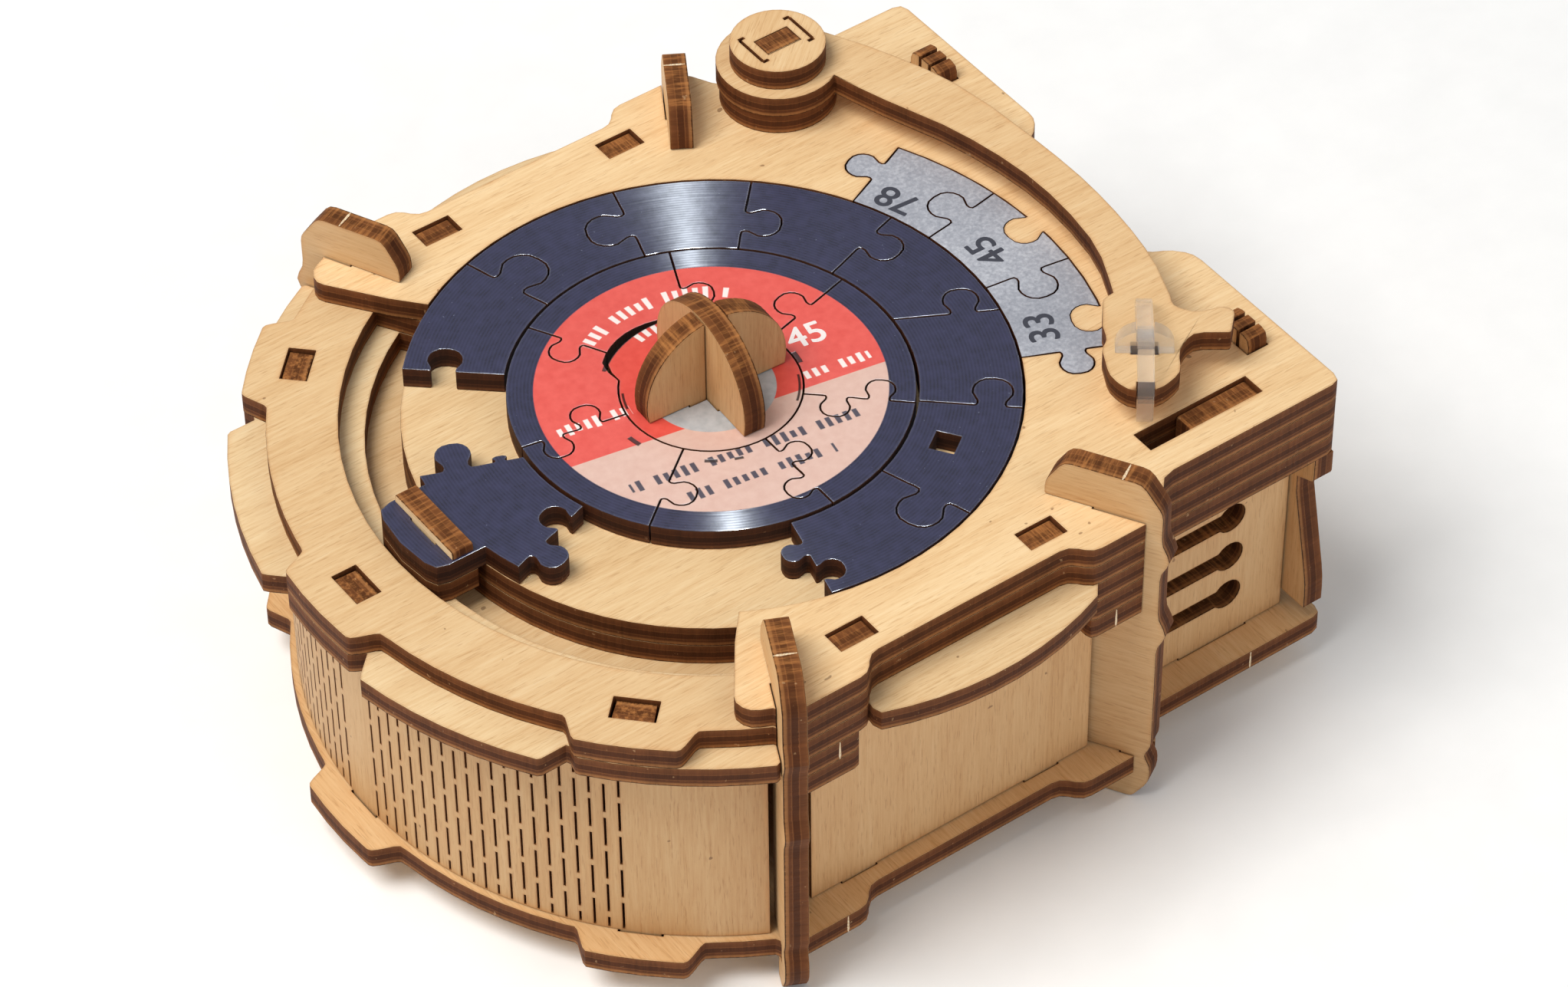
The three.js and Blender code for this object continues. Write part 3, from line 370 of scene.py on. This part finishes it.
def navy(s, radius):
    """Printed record surface with fine grooves: (colour, roughness, height)."""
    wave = s.math("SINE", s.product(radius, 2 * math.pi / GROOVE_PITCH))
    mottle = s.noise(s.place, 700, detail=4.0)
    specks = s.step(s.noise(s.place, 2600, detail=1.0), 0.76, 0.82)
    colour = s.ramp(mottle, NAVY)
    colour = s.mix(s.product(s.math("ADD", wave, 1.0), 0.14), colour, GROOVE_SHEEN)
    colour = s.mix(s.product(specks, 0.45), colour, DUST)
    rough = s.math("ADD", 0.215, s.product(mottle, 0.06))
    return colour, rough, s.product(s.math("ADD", wave, s.product(mottle, 1.2)), GROOVE_RELIEF)


def record_print(s):
    """The record's printed sheet: (colour, roughness, height)."""
    _, _, radius, _ = flat_polar(s)
    return navy(s, radius)


# Generic marks that stand where a label has its words: each is a row of short strokes. Lengths are in mm.
TILT = -10.4  # degrees that the label is turned
ARC_ROWS = [  # radius, half height, from and to in degrees
    (17.0, 1.15, 46, 119),
    (12.6, 0.95, 62, 108),
]
STRAIGHT_ROWS = [  # centre along and up the tilted label, half length, half height, light
    (-15.4, 0.6, 4.9, 1.05, True),
    (15.3, -3.3, 4.6, 0.85, True),
    (-1.0, -11.9, 15.2, 0.95, False),
    (-0.8, -16.2, 9.8, 0.95, False),
]
ARC_SLITS = [  # radius, half width, from and to in degrees
    (13.4, 0.24, 84, 132), (10.8, 0.14, 150, 165), (10.8, 0.14, -50, -25),
    (11.7, 0.3, -15, -5), (13.2, 0.3, 186, 194), (13.0, 0.26, 231, 238), (13.0, 0.22, 247, 252),
]
ARC_PITCH = 1.25
STRAIGHT_PITCH = 1.2
STROKES_PER_WORD = 6.0
STROKE_BLUR = 0.08
HUB_EDGE = (8.05, 7.95)
PINK_BELOW = 5.35
SLIT_DEPTH = 0.12 * MM
PRINT_RELIEF = 0.012 * MM
RED = [(0.3, srgb(220, 79, 68)), (0.7, srgb(229, 90, 78))]
PINK = [(0.3, srgb(215, 176, 161)), (0.7, srgb(222, 187, 172))]
# The hub's white print, greyed partly as painted shade.
HUB_WHITE_AND_SHADE = [(0.3, srgb(168, 171, 173)), (0.7, srgb(190, 191, 192))]
LIGHT_INK = srgb(246, 232, 226)
DARK_INK = srgb(74, 66, 78)
CUT = srgb(34, 20, 18)
GREY = [(0.3, srgb(138, 142, 152)), (0.5, srgb(166, 169, 178)), (0.7, srgb(198, 201, 208))]


def strokes(s, run, pitch):
    """Upright strokes along a row, with a gap every few: (mask, height factor)."""
    cells = s.math("DIVIDE", run, pitch)
    cell = s.math("FLOOR", cells)
    middle = s.within(s.math("FRACT", cells), 0.5, 0.27, 0.06)
    in_word = s.math("FRACT", s.math("DIVIDE", s.math("ADD", cell, 0.5), STROKES_PER_WORD))
    word_gap = s.step(in_word, 0.1, 0.12)
    tall = s.node("ShaderNodeTexWhiteNoise", {"W": cell}, noise_dimensions="1D").outputs["Value"]
    return s.product(middle, word_gap), s.math("ADD", 0.62, s.product(tall, 0.38))


def label_words(s, x, y, radius, angle):
    """Masks of the light strokes, the dark strokes and the part of the label above its middle line."""
    tilt = direction(TILT)
    run = s.math("ADD", s.product(x, tilt.x), s.product(y, tilt.y))
    rise = s.math("SUBTRACT", s.product(y, tilt.x), s.product(x, tilt.y))
    light, dark = [], []
    for row_radius, half, start, end in ARC_ROWS:
        mask, tall = strokes(s, s.product(angle, row_radius * math.pi / 180), ARC_PITCH)
        reach = s.between(angle, start, end, 0.5)
        off = s.math("DIVIDE", s.math("ABSOLUTE", s.math("SUBTRACT", radius, row_radius)), tall)
        light.append(s.product(mask, reach, s.step(off, half + STROKE_BLUR, half - STROKE_BLUR)))
    for along, up, half_length, half, is_light in STRAIGHT_ROWS:
        mask, tall = strokes(s, run, STRAIGHT_PITCH)
        reach = s.within(run, along, half_length, 0.05)
        off = s.math("DIVIDE", s.math("ABSOLUTE", s.math("SUBTRACT", rise, up)), tall)
        row = s.product(mask, reach, s.step(off, half + STROKE_BLUR, half - STROKE_BLUR))
        (light if is_light else dark).append(row)
    above = s.step(s.math("ADD", rise, PINK_BELOW), -0.06, 0.06)
    return s.union(*light), s.union(*dark), above


def label_slits(s, radius, angle):
    """Mask of the short arcs cut into the label."""
    slits = []
    for slit_radius, half, start, end in ARC_SLITS:
        past = s.math("MODULO", s.math("ADD", s.math("SUBTRACT", angle, start), 720.0), 360.0)
        reach = s.between(past, 0, end - start, 0.4)
        slits.append(s.product(reach, s.within(radius, slit_radius, half, 0.06)))
    return s.union(*slits)


def label_print(s):
    """The label's print and the navy rim round it: (colour, roughness, height)."""
    x, y, radius, angle = flat_polar(s)
    light, dark, above = label_words(s, x, y, radius, angle)
    slits = label_slits(s, radius, angle)
    mottle = s.noise(s.place, 900, detail=5.0)
    colour = s.mix(above, s.ramp(mottle, PINK), s.ramp(mottle, RED))
    colour = s.mix(light, colour, LIGHT_INK)
    colour = s.mix(dark, colour, DARK_INK)
    # White print on the hub; its grey is partly painted shade.
    colour = s.mix(s.step(radius, *HUB_EDGE), colour, s.ramp(mottle, HUB_WHITE_AND_SHADE))
    navy_colour, navy_rough, navy_height = navy(s, radius)
    on_rim = s.step(radius, *LABEL_EDGE)
    colour = s.mix(on_rim, colour, navy_colour)
    colour = s.mix(s.product(slits, 0.92), colour, CUT)
    rough = s.blend_value(on_rim, s.math("ADD", 0.34, s.product(mottle, 0.18)), navy_rough)
    height = s.blend_value(on_rim, s.product(mottle, PRINT_RELIEF), navy_height)
    return colour, rough, s.math("ADD", height, s.product(slits, -SLIT_DEPTH))


def grey_print(s):
    """The speed scale's print, with a broad brightness drift painted in as its sheen: (colour, roughness,
    height).
    """
    fine = s.noise(s.place, 2200, detail=4.0)
    # Broad noise: painted sheen, lighter and darker across the grey.
    sheen_drift = s.noise(s.place, 60, detail=1.0)
    colour = s.ramp(s.math("ADD", s.product(fine, 0.6), s.product(sheen_drift, 0.4)), GREY)
    return colour, s.math("ADD", 0.26, s.product(fine, 0.2)), s.product(fine, PRINT_RELIEF)


def ink(name, colour):
    """Numeral ink with fine speckles a fifth darker."""
    s = Shader(name)
    speckle = s.noise(s.place, 3000, detail=3.0)
    darker = [channel * 0.8 for channel in colour[:3]] + [1]
    paint = s.mix(s.step(speckle, 0.58, 0.74), colour, darker)
    bump = s.node("ShaderNodeBump", {"Height": speckle, "Distance": 0.01 * MM})
    return s.finish(**{"Base Color": paint, "Roughness": s.math("ADD", 0.34, s.product(speckle, 0.2)),
                       "Normal": bump.outputs[0]})


CUT_LINE_SCALES = Vector((3000, 3000, 90))  # a laser leaves upright lines on an acrylic edge
FROST_REACH = 0.25 * MM


def clear_acrylic():
    """Clear sheet with frosted edges."""
    s = Shader("clear_acrylic")
    lines = s.noise(s.vector("MULTIPLY", s.place, CUT_LINE_SCALES), 1.0, detail=3.0)
    haze = s.noise(s.place, 500, detail=3.0)
    near = s.step(s.near_edge(FROST_REACH), 0.05, 0.28)
    bump = s.node("ShaderNodeBump", {"Height": lines, "Distance": 0.012 * MM, "Strength": 0.5})
    return s.finish(**{
        "Base Color": s.mix(near, srgb(252, 253, 253), srgb(246, 248, 248)),
        "Roughness": s.math("ADD", s.product(near, 0.2), s.product(haze, 0.04)),
        "IOR": 1.3,
        "Transmission Weight": 0.86,
        "Alpha": s.blend_value(near, 0.55, 0.96),
        "Normal": bump.outputs[0],
    })


# ---- CAD nodes: edges softened, materials by sheet ----


def middle_z(node):
    """Height of the middle of a node's box."""
    low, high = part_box(node)
    return (low.z + high.z) / 2


KEEP_TRIANGLES = ("speed_piece_33", "speed_piece_45", "slider_shoe", "tonearm")  # DECIMATE spoils these
WORN_WIDTH = 0.09 * MM


def dress(node, material):
    """Give a CAD node its material and lightly worn edges."""
    piece = NODES[node]
    mesh = piece.data
    if "custom_normal" in mesh.attributes:
        mesh.attributes.remove(mesh.attributes["custom_normal"])
    mesh.polygons.foreach_set("use_smooth", [True] * len(mesh.polygons))
    if not piece.material_slots:
        mesh.materials.append(material)
    for material_slot in piece.material_slots:
        material_slot.material = material
    weld = piece.modifiers.new("weld", "WELD")
    weld.merge_threshold = 0.001 * MM
    if node not in KEEP_TRIANGLES:
        flats = piece.modifiers.new("flats", "DECIMATE")
        flats.decimate_type = "DISSOLVE"
        flats.angle_limit = math.radians(0.5)
    worn = piece.modifiers.new("worn_edges", "BEVEL")
    worn.width = WORN_WIDTH
    worn.segments = 2
    worn.limit_method = "ANGLE"
    worn.angle_limit = math.radians(32)
    worn.use_clamp_overlap = False
    faces = piece.modifiers.new("flat_faces", "WEIGHTED_NORMAL")
    faces.weight = 100
    faces.thresh = 0.0001


def sheet(node, grain, tone=1.0, printed=None):
    """Dress a flat sheet. grain is the way its fibres run, and tone below 1 is darker."""
    centre = Vector((AXIS.x, AXIS.y, middle_z(node)))
    dress(node, plywood(node + "_ply", Z, centre, grain, tone, printed))


def standing(node, normal, centre, grain, tone=1.0):
    """Dress an upright plate that faces along normal."""
    dress(node, plywood(node + "_ply", normal, centre, grain, tone))


def box_centre(node):
    """Middle of a node's box."""
    low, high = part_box(node)
    return (low + high) / 2


BASE_TONE = 0.86
INNER_TONE = 0.96
RIM_TONE = 1.05
PLATTER_TONE = 1.02
ARM_TONE = 0.93
# Upright walls: darker partly in the wood's own tone and partly as painted shade for faces that get less
# light from above.
WALL_TONE_AND_SHADE = 0.76
END_TONE = 0.8
POST_TONE = 0.82
# Knob plates: darkened as painted shade.
KNOB_SHADED_TONE = 0.72
CAP_GRAIN = 40  # degrees
KNOB_HEADINGS = (177, 87)
POSTS = (("post_front_left", -115.9), ("post_front_right", -59.3),
         ("post_back_left", 115.9), ("post_back_right", 59.3))

sheet("base_plate", Y, BASE_TONE)
for node in ("lower_plate", "floor_plate", "deck_plate", "platter_lower"):
    sheet(node, X, INNER_TONE)
sheet("rim_plate", X, RIM_TONE)
sheet("top_plate", X)
sheet("platter_upper", X, PLATTER_TONE)
for node in ("arm_base_disc", "tonearm", "slider_shoe", "hub_washer", "pivot_washer"):
    sheet(node, X, ARM_TONE)
sheet("tonearm_cap", direction(CAP_GRAIN), ARM_TONE)
for index in range(1, 9):
    sheet(f"ring_piece_{index}", X, printed=record_print)
sheet("slider_record_piece", X, printed=record_print)
for index in range(1, 8):
    sheet(f"label_piece_{index}", X, printed=label_print)
sheet("label_core", X, printed=label_print)
for speed in (33, 45, 78):
    sheet(f"speed_piece_{speed}", X, printed=grey_print)

# The walls' darker tone is partly painted shade.
for node in ("side_wall_front", "side_wall_back", "grille_wall_front", "grille_wall_back"):
    standing(node, Y, box_centre(node), Z, WALL_TONE_AND_SHADE)
for node in ("end_wall", "inner_end_wall"):
    standing(node, X, box_centre(node), Z, END_TONE)
for node, heading in POSTS:
    standing(node, direction(heading + 90), AXIS, direction(heading), POST_TONE)
# The knob plates' darker tone is painted shade.
for node, heading in zip(("knob_plate_long", "knob_plate_cross"), KNOB_HEADINGS):
    standing(node, direction(heading), AXIS, Z, KNOB_SHADED_TONE)
standing("slider_handle", X, box_centre("slider_handle"), Y)
standing("pivot_pin", Y, box_centre("pivot_pin"), Z)

acrylic = clear_acrylic()
dress("stylus_plate_long", acrylic)
dress("stylus_plate_cross", acrylic)


def new_piece(name, vertices, faces, material):
    """A new object made of plain vertices and faces."""
    mesh = bpy.data.meshes.new(name)
    mesh.from_pydata(vertices, [], faces)
    mesh.update()
    mesh.materials.append(material)
    piece = bpy.data.objects.new(name, mesh)
    bpy.context.scene.collection.objects.link(piece)
    return piece


# ---- Living hinge wall: the slit sheet that bends round the left end ----

WALL_OUT = 53.2 * MM
WALL_IN = WALL_OUT - SHEET
WALL_FOOT, WALL_TOP = 7.6 * MM, 38.9 * MM
TAB_FOOT, TAB_TOP = 4.6 * MM, 44.5 * MM
DASH = 4.9 * MM
BRIDGE = 1.0 * MM
PLAIN_EDGE = 0.25 * MM
SHORTEST_DASH = 0.4 * MM
# Angles round the record's axis, in degrees
WALL_FROM = 118.6
TABS = [135.4, 180, 224.6]
TAB_HALF = 2.7
SLIT_FIELDS = [(136.6, 177.6), (182.4, 223.4)]
SLIT_PITCH = 1.95
SLIT_HALF = 0.17
WIDEST_COLUMN = 2.2


def dash_rows(phase):
    """Foot and top of each slit dash in a column; odd columns are half a dash lower."""
    rows = []
    z = WALL_FOOT - phase * (DASH + BRIDGE) / 2
    while z < WALL_TOP:
        start, end = max(z, WALL_FOOT + PLAIN_EDGE), min(z + DASH, WALL_TOP - PLAIN_EDGE)
        if end - start > SHORTEST_DASH:
            rows.append((start, end))
        z += DASH + BRIDGE
    return rows


def slit_columns():
    """Angle and phase of each column of slits."""
    slits = []
    for start, end in SLIT_FIELDS:
        count = round((end - start) / SLIT_PITCH)
        slits += [(start + (i + 0.5) * (end - start) / count, i % 2) for i in range(count)]
    return slits


def wall_angles(slits):
    """Angles at which the wall's faces meet."""
    angles = {WALL_FROM, 360 - WALL_FROM}
    for centre, _ in slits:
        angles |= {centre - SLIT_HALF, centre + SLIT_HALF}
    for tab in TABS:
        angles |= {tab - TAB_HALF, tab + TAB_HALF}
    ordered = sorted(angles)
    filled = []
    for a, b in zip(ordered, ordered[1:]):
        parts = max(1, math.ceil((b - a) / WIDEST_COLUMN))
        filled += [a + (b - a) * i / parts for i in range(parts)]
    return filled + [ordered[-1]]


def build_hinge_wall():
    """The bent wall as a grid of cells, with no cell where a slit goes through."""
    dashes = [dash_rows(0), dash_rows(1)]
    slits = slit_columns()
    angles = wall_angles(slits)
    dash_ends = {z for rows in dashes for row in rows for z in row}
    levels = sorted({WALL_FOOT, WALL_TOP, TAB_FOOT, TAB_TOP} | dash_ends)

    def solid(column, row):
        if not (0 <= column < len(angles) - 1 and 0 <= row < len(levels) - 1):
            return False
        angle = (angles[column] + angles[column + 1]) / 2
        z = (levels[row] + levels[row + 1]) / 2
        if not WALL_FOOT < z < WALL_TOP:
            return any(abs(angle - tab) < TAB_HALF for tab in TABS)
        for centre, phase in slits:
            if abs(angle - centre) < SLIT_HALF:
                return not any(start < z < end for start, end in dashes[phase])
        return True

    vertices, index, faces = [], {}, []

    def vertex(column, row, radius):
        key = (column, row, radius)
        if key not in index:
            index[key] = len(vertices)
            place = direction(angles[column]) * radius
            vertices.append((AXIS.x + place.x, AXIS.y + place.y, levels[row]))
        return index[key]

    for column in range(len(angles) - 1):
        for row in range(len(levels) - 1):
            if not solid(column, row):
                continue
            ring = [(column, row), (column + 1, row), (column + 1, row + 1), (column, row + 1)]
            faces.append([vertex(*corner, WALL_OUT) for corner in ring])
            faces.append([vertex(*corner, WALL_IN) for corner in reversed(ring)])
            beside = [(column, row - 1), (column + 1, row), (column, row + 1), (column - 1, row)]
            for side, neighbour in enumerate(beside):
                if not solid(*neighbour):
                    p, q = ring[side], ring[(side + 1) % 4]
                    walk = ((p, WALL_OUT), (p, WALL_IN), (q, WALL_IN), (q, WALL_OUT))
                    faces.append([vertex(*corner, radius) for corner, radius in walk])
    # The bent wall's darker tone is partly painted shade.
    bent_ply = plywood("hinge_wall_ply", None, (WALL_OUT + WALL_IN) / 2, None, WALL_TONE_AND_SHADE)
    piece = new_piece("living_hinge_slit_wall", vertices, faces, bent_ply)
    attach(piece, "case")
    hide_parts("living_hinge_wall")


build_hinge_wall()


# ---- Pale slivers where the laser left a bridge to break ----

BRIDGE_WIDTH = 0.34 * MM
BRIDGE_LENGTH = SHEET * 0.94
BRIDGE_RISE = 0.03 * MM
SIDE_BRIDGES = [  # node, x and y of the mark in mm from the record's axis
    ("floor_plate", -17.4, -50), ("lower_plate", 23.8, -50), ("base_plate", -16.2, -50),
    ("base_plate", 50.8, -44.7), ("floor_plate", 17.4, 50), ("base_plate", -24.0, 50),
]
TOP_BRIDGES = {  # x and y of the mark on each post's top edge
    "post_front_left": (-22.6, -46.5), "post_front_right": (27.4, -46.4),
    "post_back_left": (-22.6, 46.5), "post_back_right": (27.4, 46.4),
}
SLIVER_RINGS = ((-0.5, 0.3), (-0.3, 1.0), (0.1, 0.8), (0.5, 0.4))  # share of its length, share of its width
TORN = [(0.35, srgb(206, 164, 116)), (0.6, srgb(244, 226, 194))]


def sliver(vertices, faces, centre, length_way, width_way, out):
    """Adds a low ridge that crosses a sheet's edge."""
    start = len(vertices)
    for share, width in SLIVER_RINGS:
        along = centre + length_way * (share * BRIDGE_LENGTH)
        side = width_way * (width * BRIDGE_WIDTH / 2)
        vertices.extend([along - side, along + out * BRIDGE_RISE, along + side])
    for a in range(start, len(vertices) - 3, 3):
        b = a + 3
        faces.extend([(a, a + 1, b + 1, b), (a + 1, a + 2, b + 2, b + 1)])


def torn_fibres():
    """Pale broken wood."""
    s = Shader("torn_fibres")
    fibres = s.noise(s.place, 4200, detail=3.0)
    bump = s.node("ShaderNodeBump", {"Height": fibres, "Distance": 0.05 * MM})
    return s.finish(**{
        "Base Color": s.ramp(fibres, TORN),
        "Roughness": s.math("ADD", 0.6, s.product(fibres, 0.3)),
        "Normal": bump.outputs[0],
    })


def build_bridge_marks():
    """All the slivers, as one piece that rides on the case."""
    vertices, faces = [], []
    for node, x, y in SIDE_BRIDGES:
        centre = Vector((AXIS.x + x * MM, y * MM, middle_z(node)))
        sliver(vertices, faces, centre, Z, X, Y * math.copysign(1, y))
    for node, heading in POSTS:
        x, y = TOP_BRIDGES[node]
        centre = Vector((AXIS.x + x * MM, y * MM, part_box(node)[1].z))
        sliver(vertices, faces, centre, direction(heading + 90), direction(heading), Z)
    piece = new_piece("laser_bridge_marks", vertices, faces, torn_fibres())
    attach(piece, "case")


build_bridge_marks()


# ---- Numerals, printed on the speed scale and on the label ----

STRIKES = [(-0.022, 0), (0.022, 0), (0, -0.016), (0, 0.016), (0, 0)]  # in shares of a digit's height
STRIKE_RISE = 0.0004
CAP_HEIGHT = 0.72  # share of the font's size
INK_THICKNESS = 0.0015
INK_LIFT = 0.01 * MM


def struck_bold(name, thin):
    """The outline laid down several times, a little apart, which thickens it and keeps its counters open."""
    vertices, faces = [], []
    for copy, (x, y) in enumerate(STRIKES):
        start = len(vertices)
        shift = Vector((x, y, copy * STRIKE_RISE))
        vertices.extend(vertex.co + shift for vertex in thin.vertices)
        faces.extend([start + corner for corner in polygon.vertices] for polygon in thin.polygons)
    mesh = bpy.data.meshes.new(name)
    mesh.from_pydata(vertices, [], faces)
    return mesh


def numeral(name, digits, place, angle, height, material, print_on):
    """Printed digits: place in mm from the record's axis, baseline angle in degrees, (body, node, slot),
    where slot is not used.
    """
    curve = bpy.data.curves.new(name + "_outline", "FONT")
    curve.body = digits
    curve.size = 1 / CAP_HEIGHT
    curve.align_x = "CENTER"
    curve.align_y = "CENTER"
    curve.extrude = INK_THICKNESS
    outline = bpy.data.objects.new(name + "_outline", curve)
    bpy.context.scene.collection.objects.link(outline)
    bpy.context.view_layer.update()
    depsgraph = bpy.context.evaluated_depsgraph_get()
    thin = bpy.data.meshes.new_from_object(outline.evaluated_get(depsgraph))
    bpy.data.objects.remove(outline)
    mesh = struck_bold(name, thin)
    body, node, slot = print_on
    spot = Vector((AXIS.x + place[0] * MM, AXIS.y + place[1] * MM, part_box(node)[1].z + INK_LIFT))
    turn = Matrix.Rotation(math.radians(angle), 4, "Z")
    mesh.transform(Matrix.Translation(spot) @ turn @ Matrix.Scale(height, 4))
    mesh.materials.append(material)
    piece = bpy.data.objects.new(name, mesh)
    bpy.context.scene.collection.objects.link(piece)
    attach(piece, body)


dark_ink = ink("dark_ink", srgb(66, 68, 78))
white_ink = ink("white_ink", srgb(246, 236, 232))
SPEEDS = (("78", (38.8, 14.0), 109.8), ("45", (42.2, -0.4), 89.5), ("33", (39.0, -15.6), 68.2))
for digits, place, angle in SPEEDS:
    print_on = ("case", "speed_piece_" + digits, "grey_print")
    numeral("numeral_" + digits, digits, place, angle, 3.9 * MM, dark_ink, print_on)
numeral("label_numeral_45", "45", (14.7, 0.4), TILT, 3.7 * MM, white_ink,
        ("label_disc", "label_piece_3", "label_print"))


# ---- Floor, light and camera ----


FLOOR_HALF = 3.0
FLOOR_STEPS = 24
FLOOR_DIP = 0.05 * MM
PAPER = [(0.3, srgb(250, 250, 249)), (0.7, srgb(254, 254, 253))]
AIM = Vector((0, 0, 0.03))


def floor_paper():
    """Plain pale paper with a faint tooth."""
    s = Shader("floor_paper")
    tooth = s.noise(s.place, 120, detail=4.0)
    return s.finish(**{"Base Color": s.ramp(tooth, PAPER), "Roughness": 0.9, "Specular IOR Level": 0.0})


def build_floor():
    """A sheet of paper, gently uneven and never above the object's foot."""
    marks = [-FLOOR_HALF + 2 * FLOOR_HALF * i / FLOOR_STEPS for i in range(FLOOR_STEPS + 1)]
    vertices = [(x, y, -FLOOR_DIP * (1 + math.sin(3 * x) * math.cos(2 * y))) for y in marks for x in marks]
    row = FLOOR_STEPS + 1
    faces = [(j * row + i, j * row + i + 1, (j + 1) * row + i + 1, (j + 1) * row + i)
             for j in range(FLOOR_STEPS) for i in range(FLOOR_STEPS)]
    floor = new_piece("floor", vertices, faces, floor_paper())
    floor.data.polygons.foreach_set("use_smooth", [True] * len(faces))


def area_light(name, place, size, energy, colour, shows_in=()):
    """A lamp aimed at the object. It gives no reflections, or only reflections, in the nodes of shows_in."""
    glossy = bool(shows_in)
    data = bpy.data.lights.new(name, "AREA")
    data.shape = "RECTANGLE"
    data.size, data.size_y = size
    data.energy = energy
    data.color = colour
    lamp = bpy.data.objects.new(name, data)
    lamp.location = place
    lamp.visible_glossy = glossy
    lamp.visible_diffuse = lamp.visible_transmission = not glossy
    lamp.rotation_euler = (Vector(place) - AIM).to_track_quat("Z", "Y").to_euler()
    bpy.context.scene.collection.objects.link(lamp)
    if glossy:
        lit = bpy.data.collections.new(name + "_receivers")
        for node in shows_in:
            lit.objects.link(NODES[node])
        lamp.light_linking.receiver_collection = lit


build_floor()
area_light("key_softbox", place=(-0.55, 0.1, 1.05), size=(0.7, 0.7), energy=12.8, colour=(1.0, 0.985, 0.96))
grooved_nodes = [node for node in NODES if node.startswith(("ring_piece", "label_piece", "slider_record"))]
area_light("groove_light", place=(-0.032, -0.185, 1.02), size=(0.03, 0.03), energy=50.0,
           colour=(0.84, 0.92, 1.0), shows_in=grooved_nodes)
area_light("front_fill", place=(0.25, -1.0, 0.55), size=(0.8, 0.6), energy=2.0, colour=(1.0, 0.99, 0.97))

world = bpy.data.worlds.new("studio")
world.use_nodes = True
background = world.node_tree.nodes["Background"]
background.inputs["Color"].default_value = srgb(245, 247, 250)
background.inputs["Strength"].default_value = 0.36
bpy.context.scene.world = world
bpy.context.scene.view_settings.view_transform = "Standard"
bpy.context.scene.view_settings.exposure = 0.0

# The photograph's viewing angle and perspective; the place is given from the record's axis.
CAMERA_LENS = 128.04
CAMERA_RIGHT = Vector((0.80872815, -0.58812382, -0.00831509))
CAMERA_UP = Vector((0.41733029, 0.56379353, 0.71272174))
CAMERA_PLACE = Vector((-0.279717, -0.406340, 0.515032))

camera_data = bpy.data.cameras.new("camera")
camera_data.lens = CAMERA_LENS
camera_data.sensor_width = 36
camera_data.clip_start = 0.01
camera = bpy.data.objects.new("camera", camera_data)
turn = Matrix((CAMERA_RIGHT, CAMERA_UP, CAMERA_RIGHT.cross(CAMERA_UP))).transposed()
spot = CAMERA_PLACE + Vector((AXIS.x, AXIS.y, 0))
camera.matrix_world = Matrix.Translation(spot) @ turn.to_4x4()
bpy.context.scene.collection.objects.link(camera)
bpy.context.scene.camera = camera
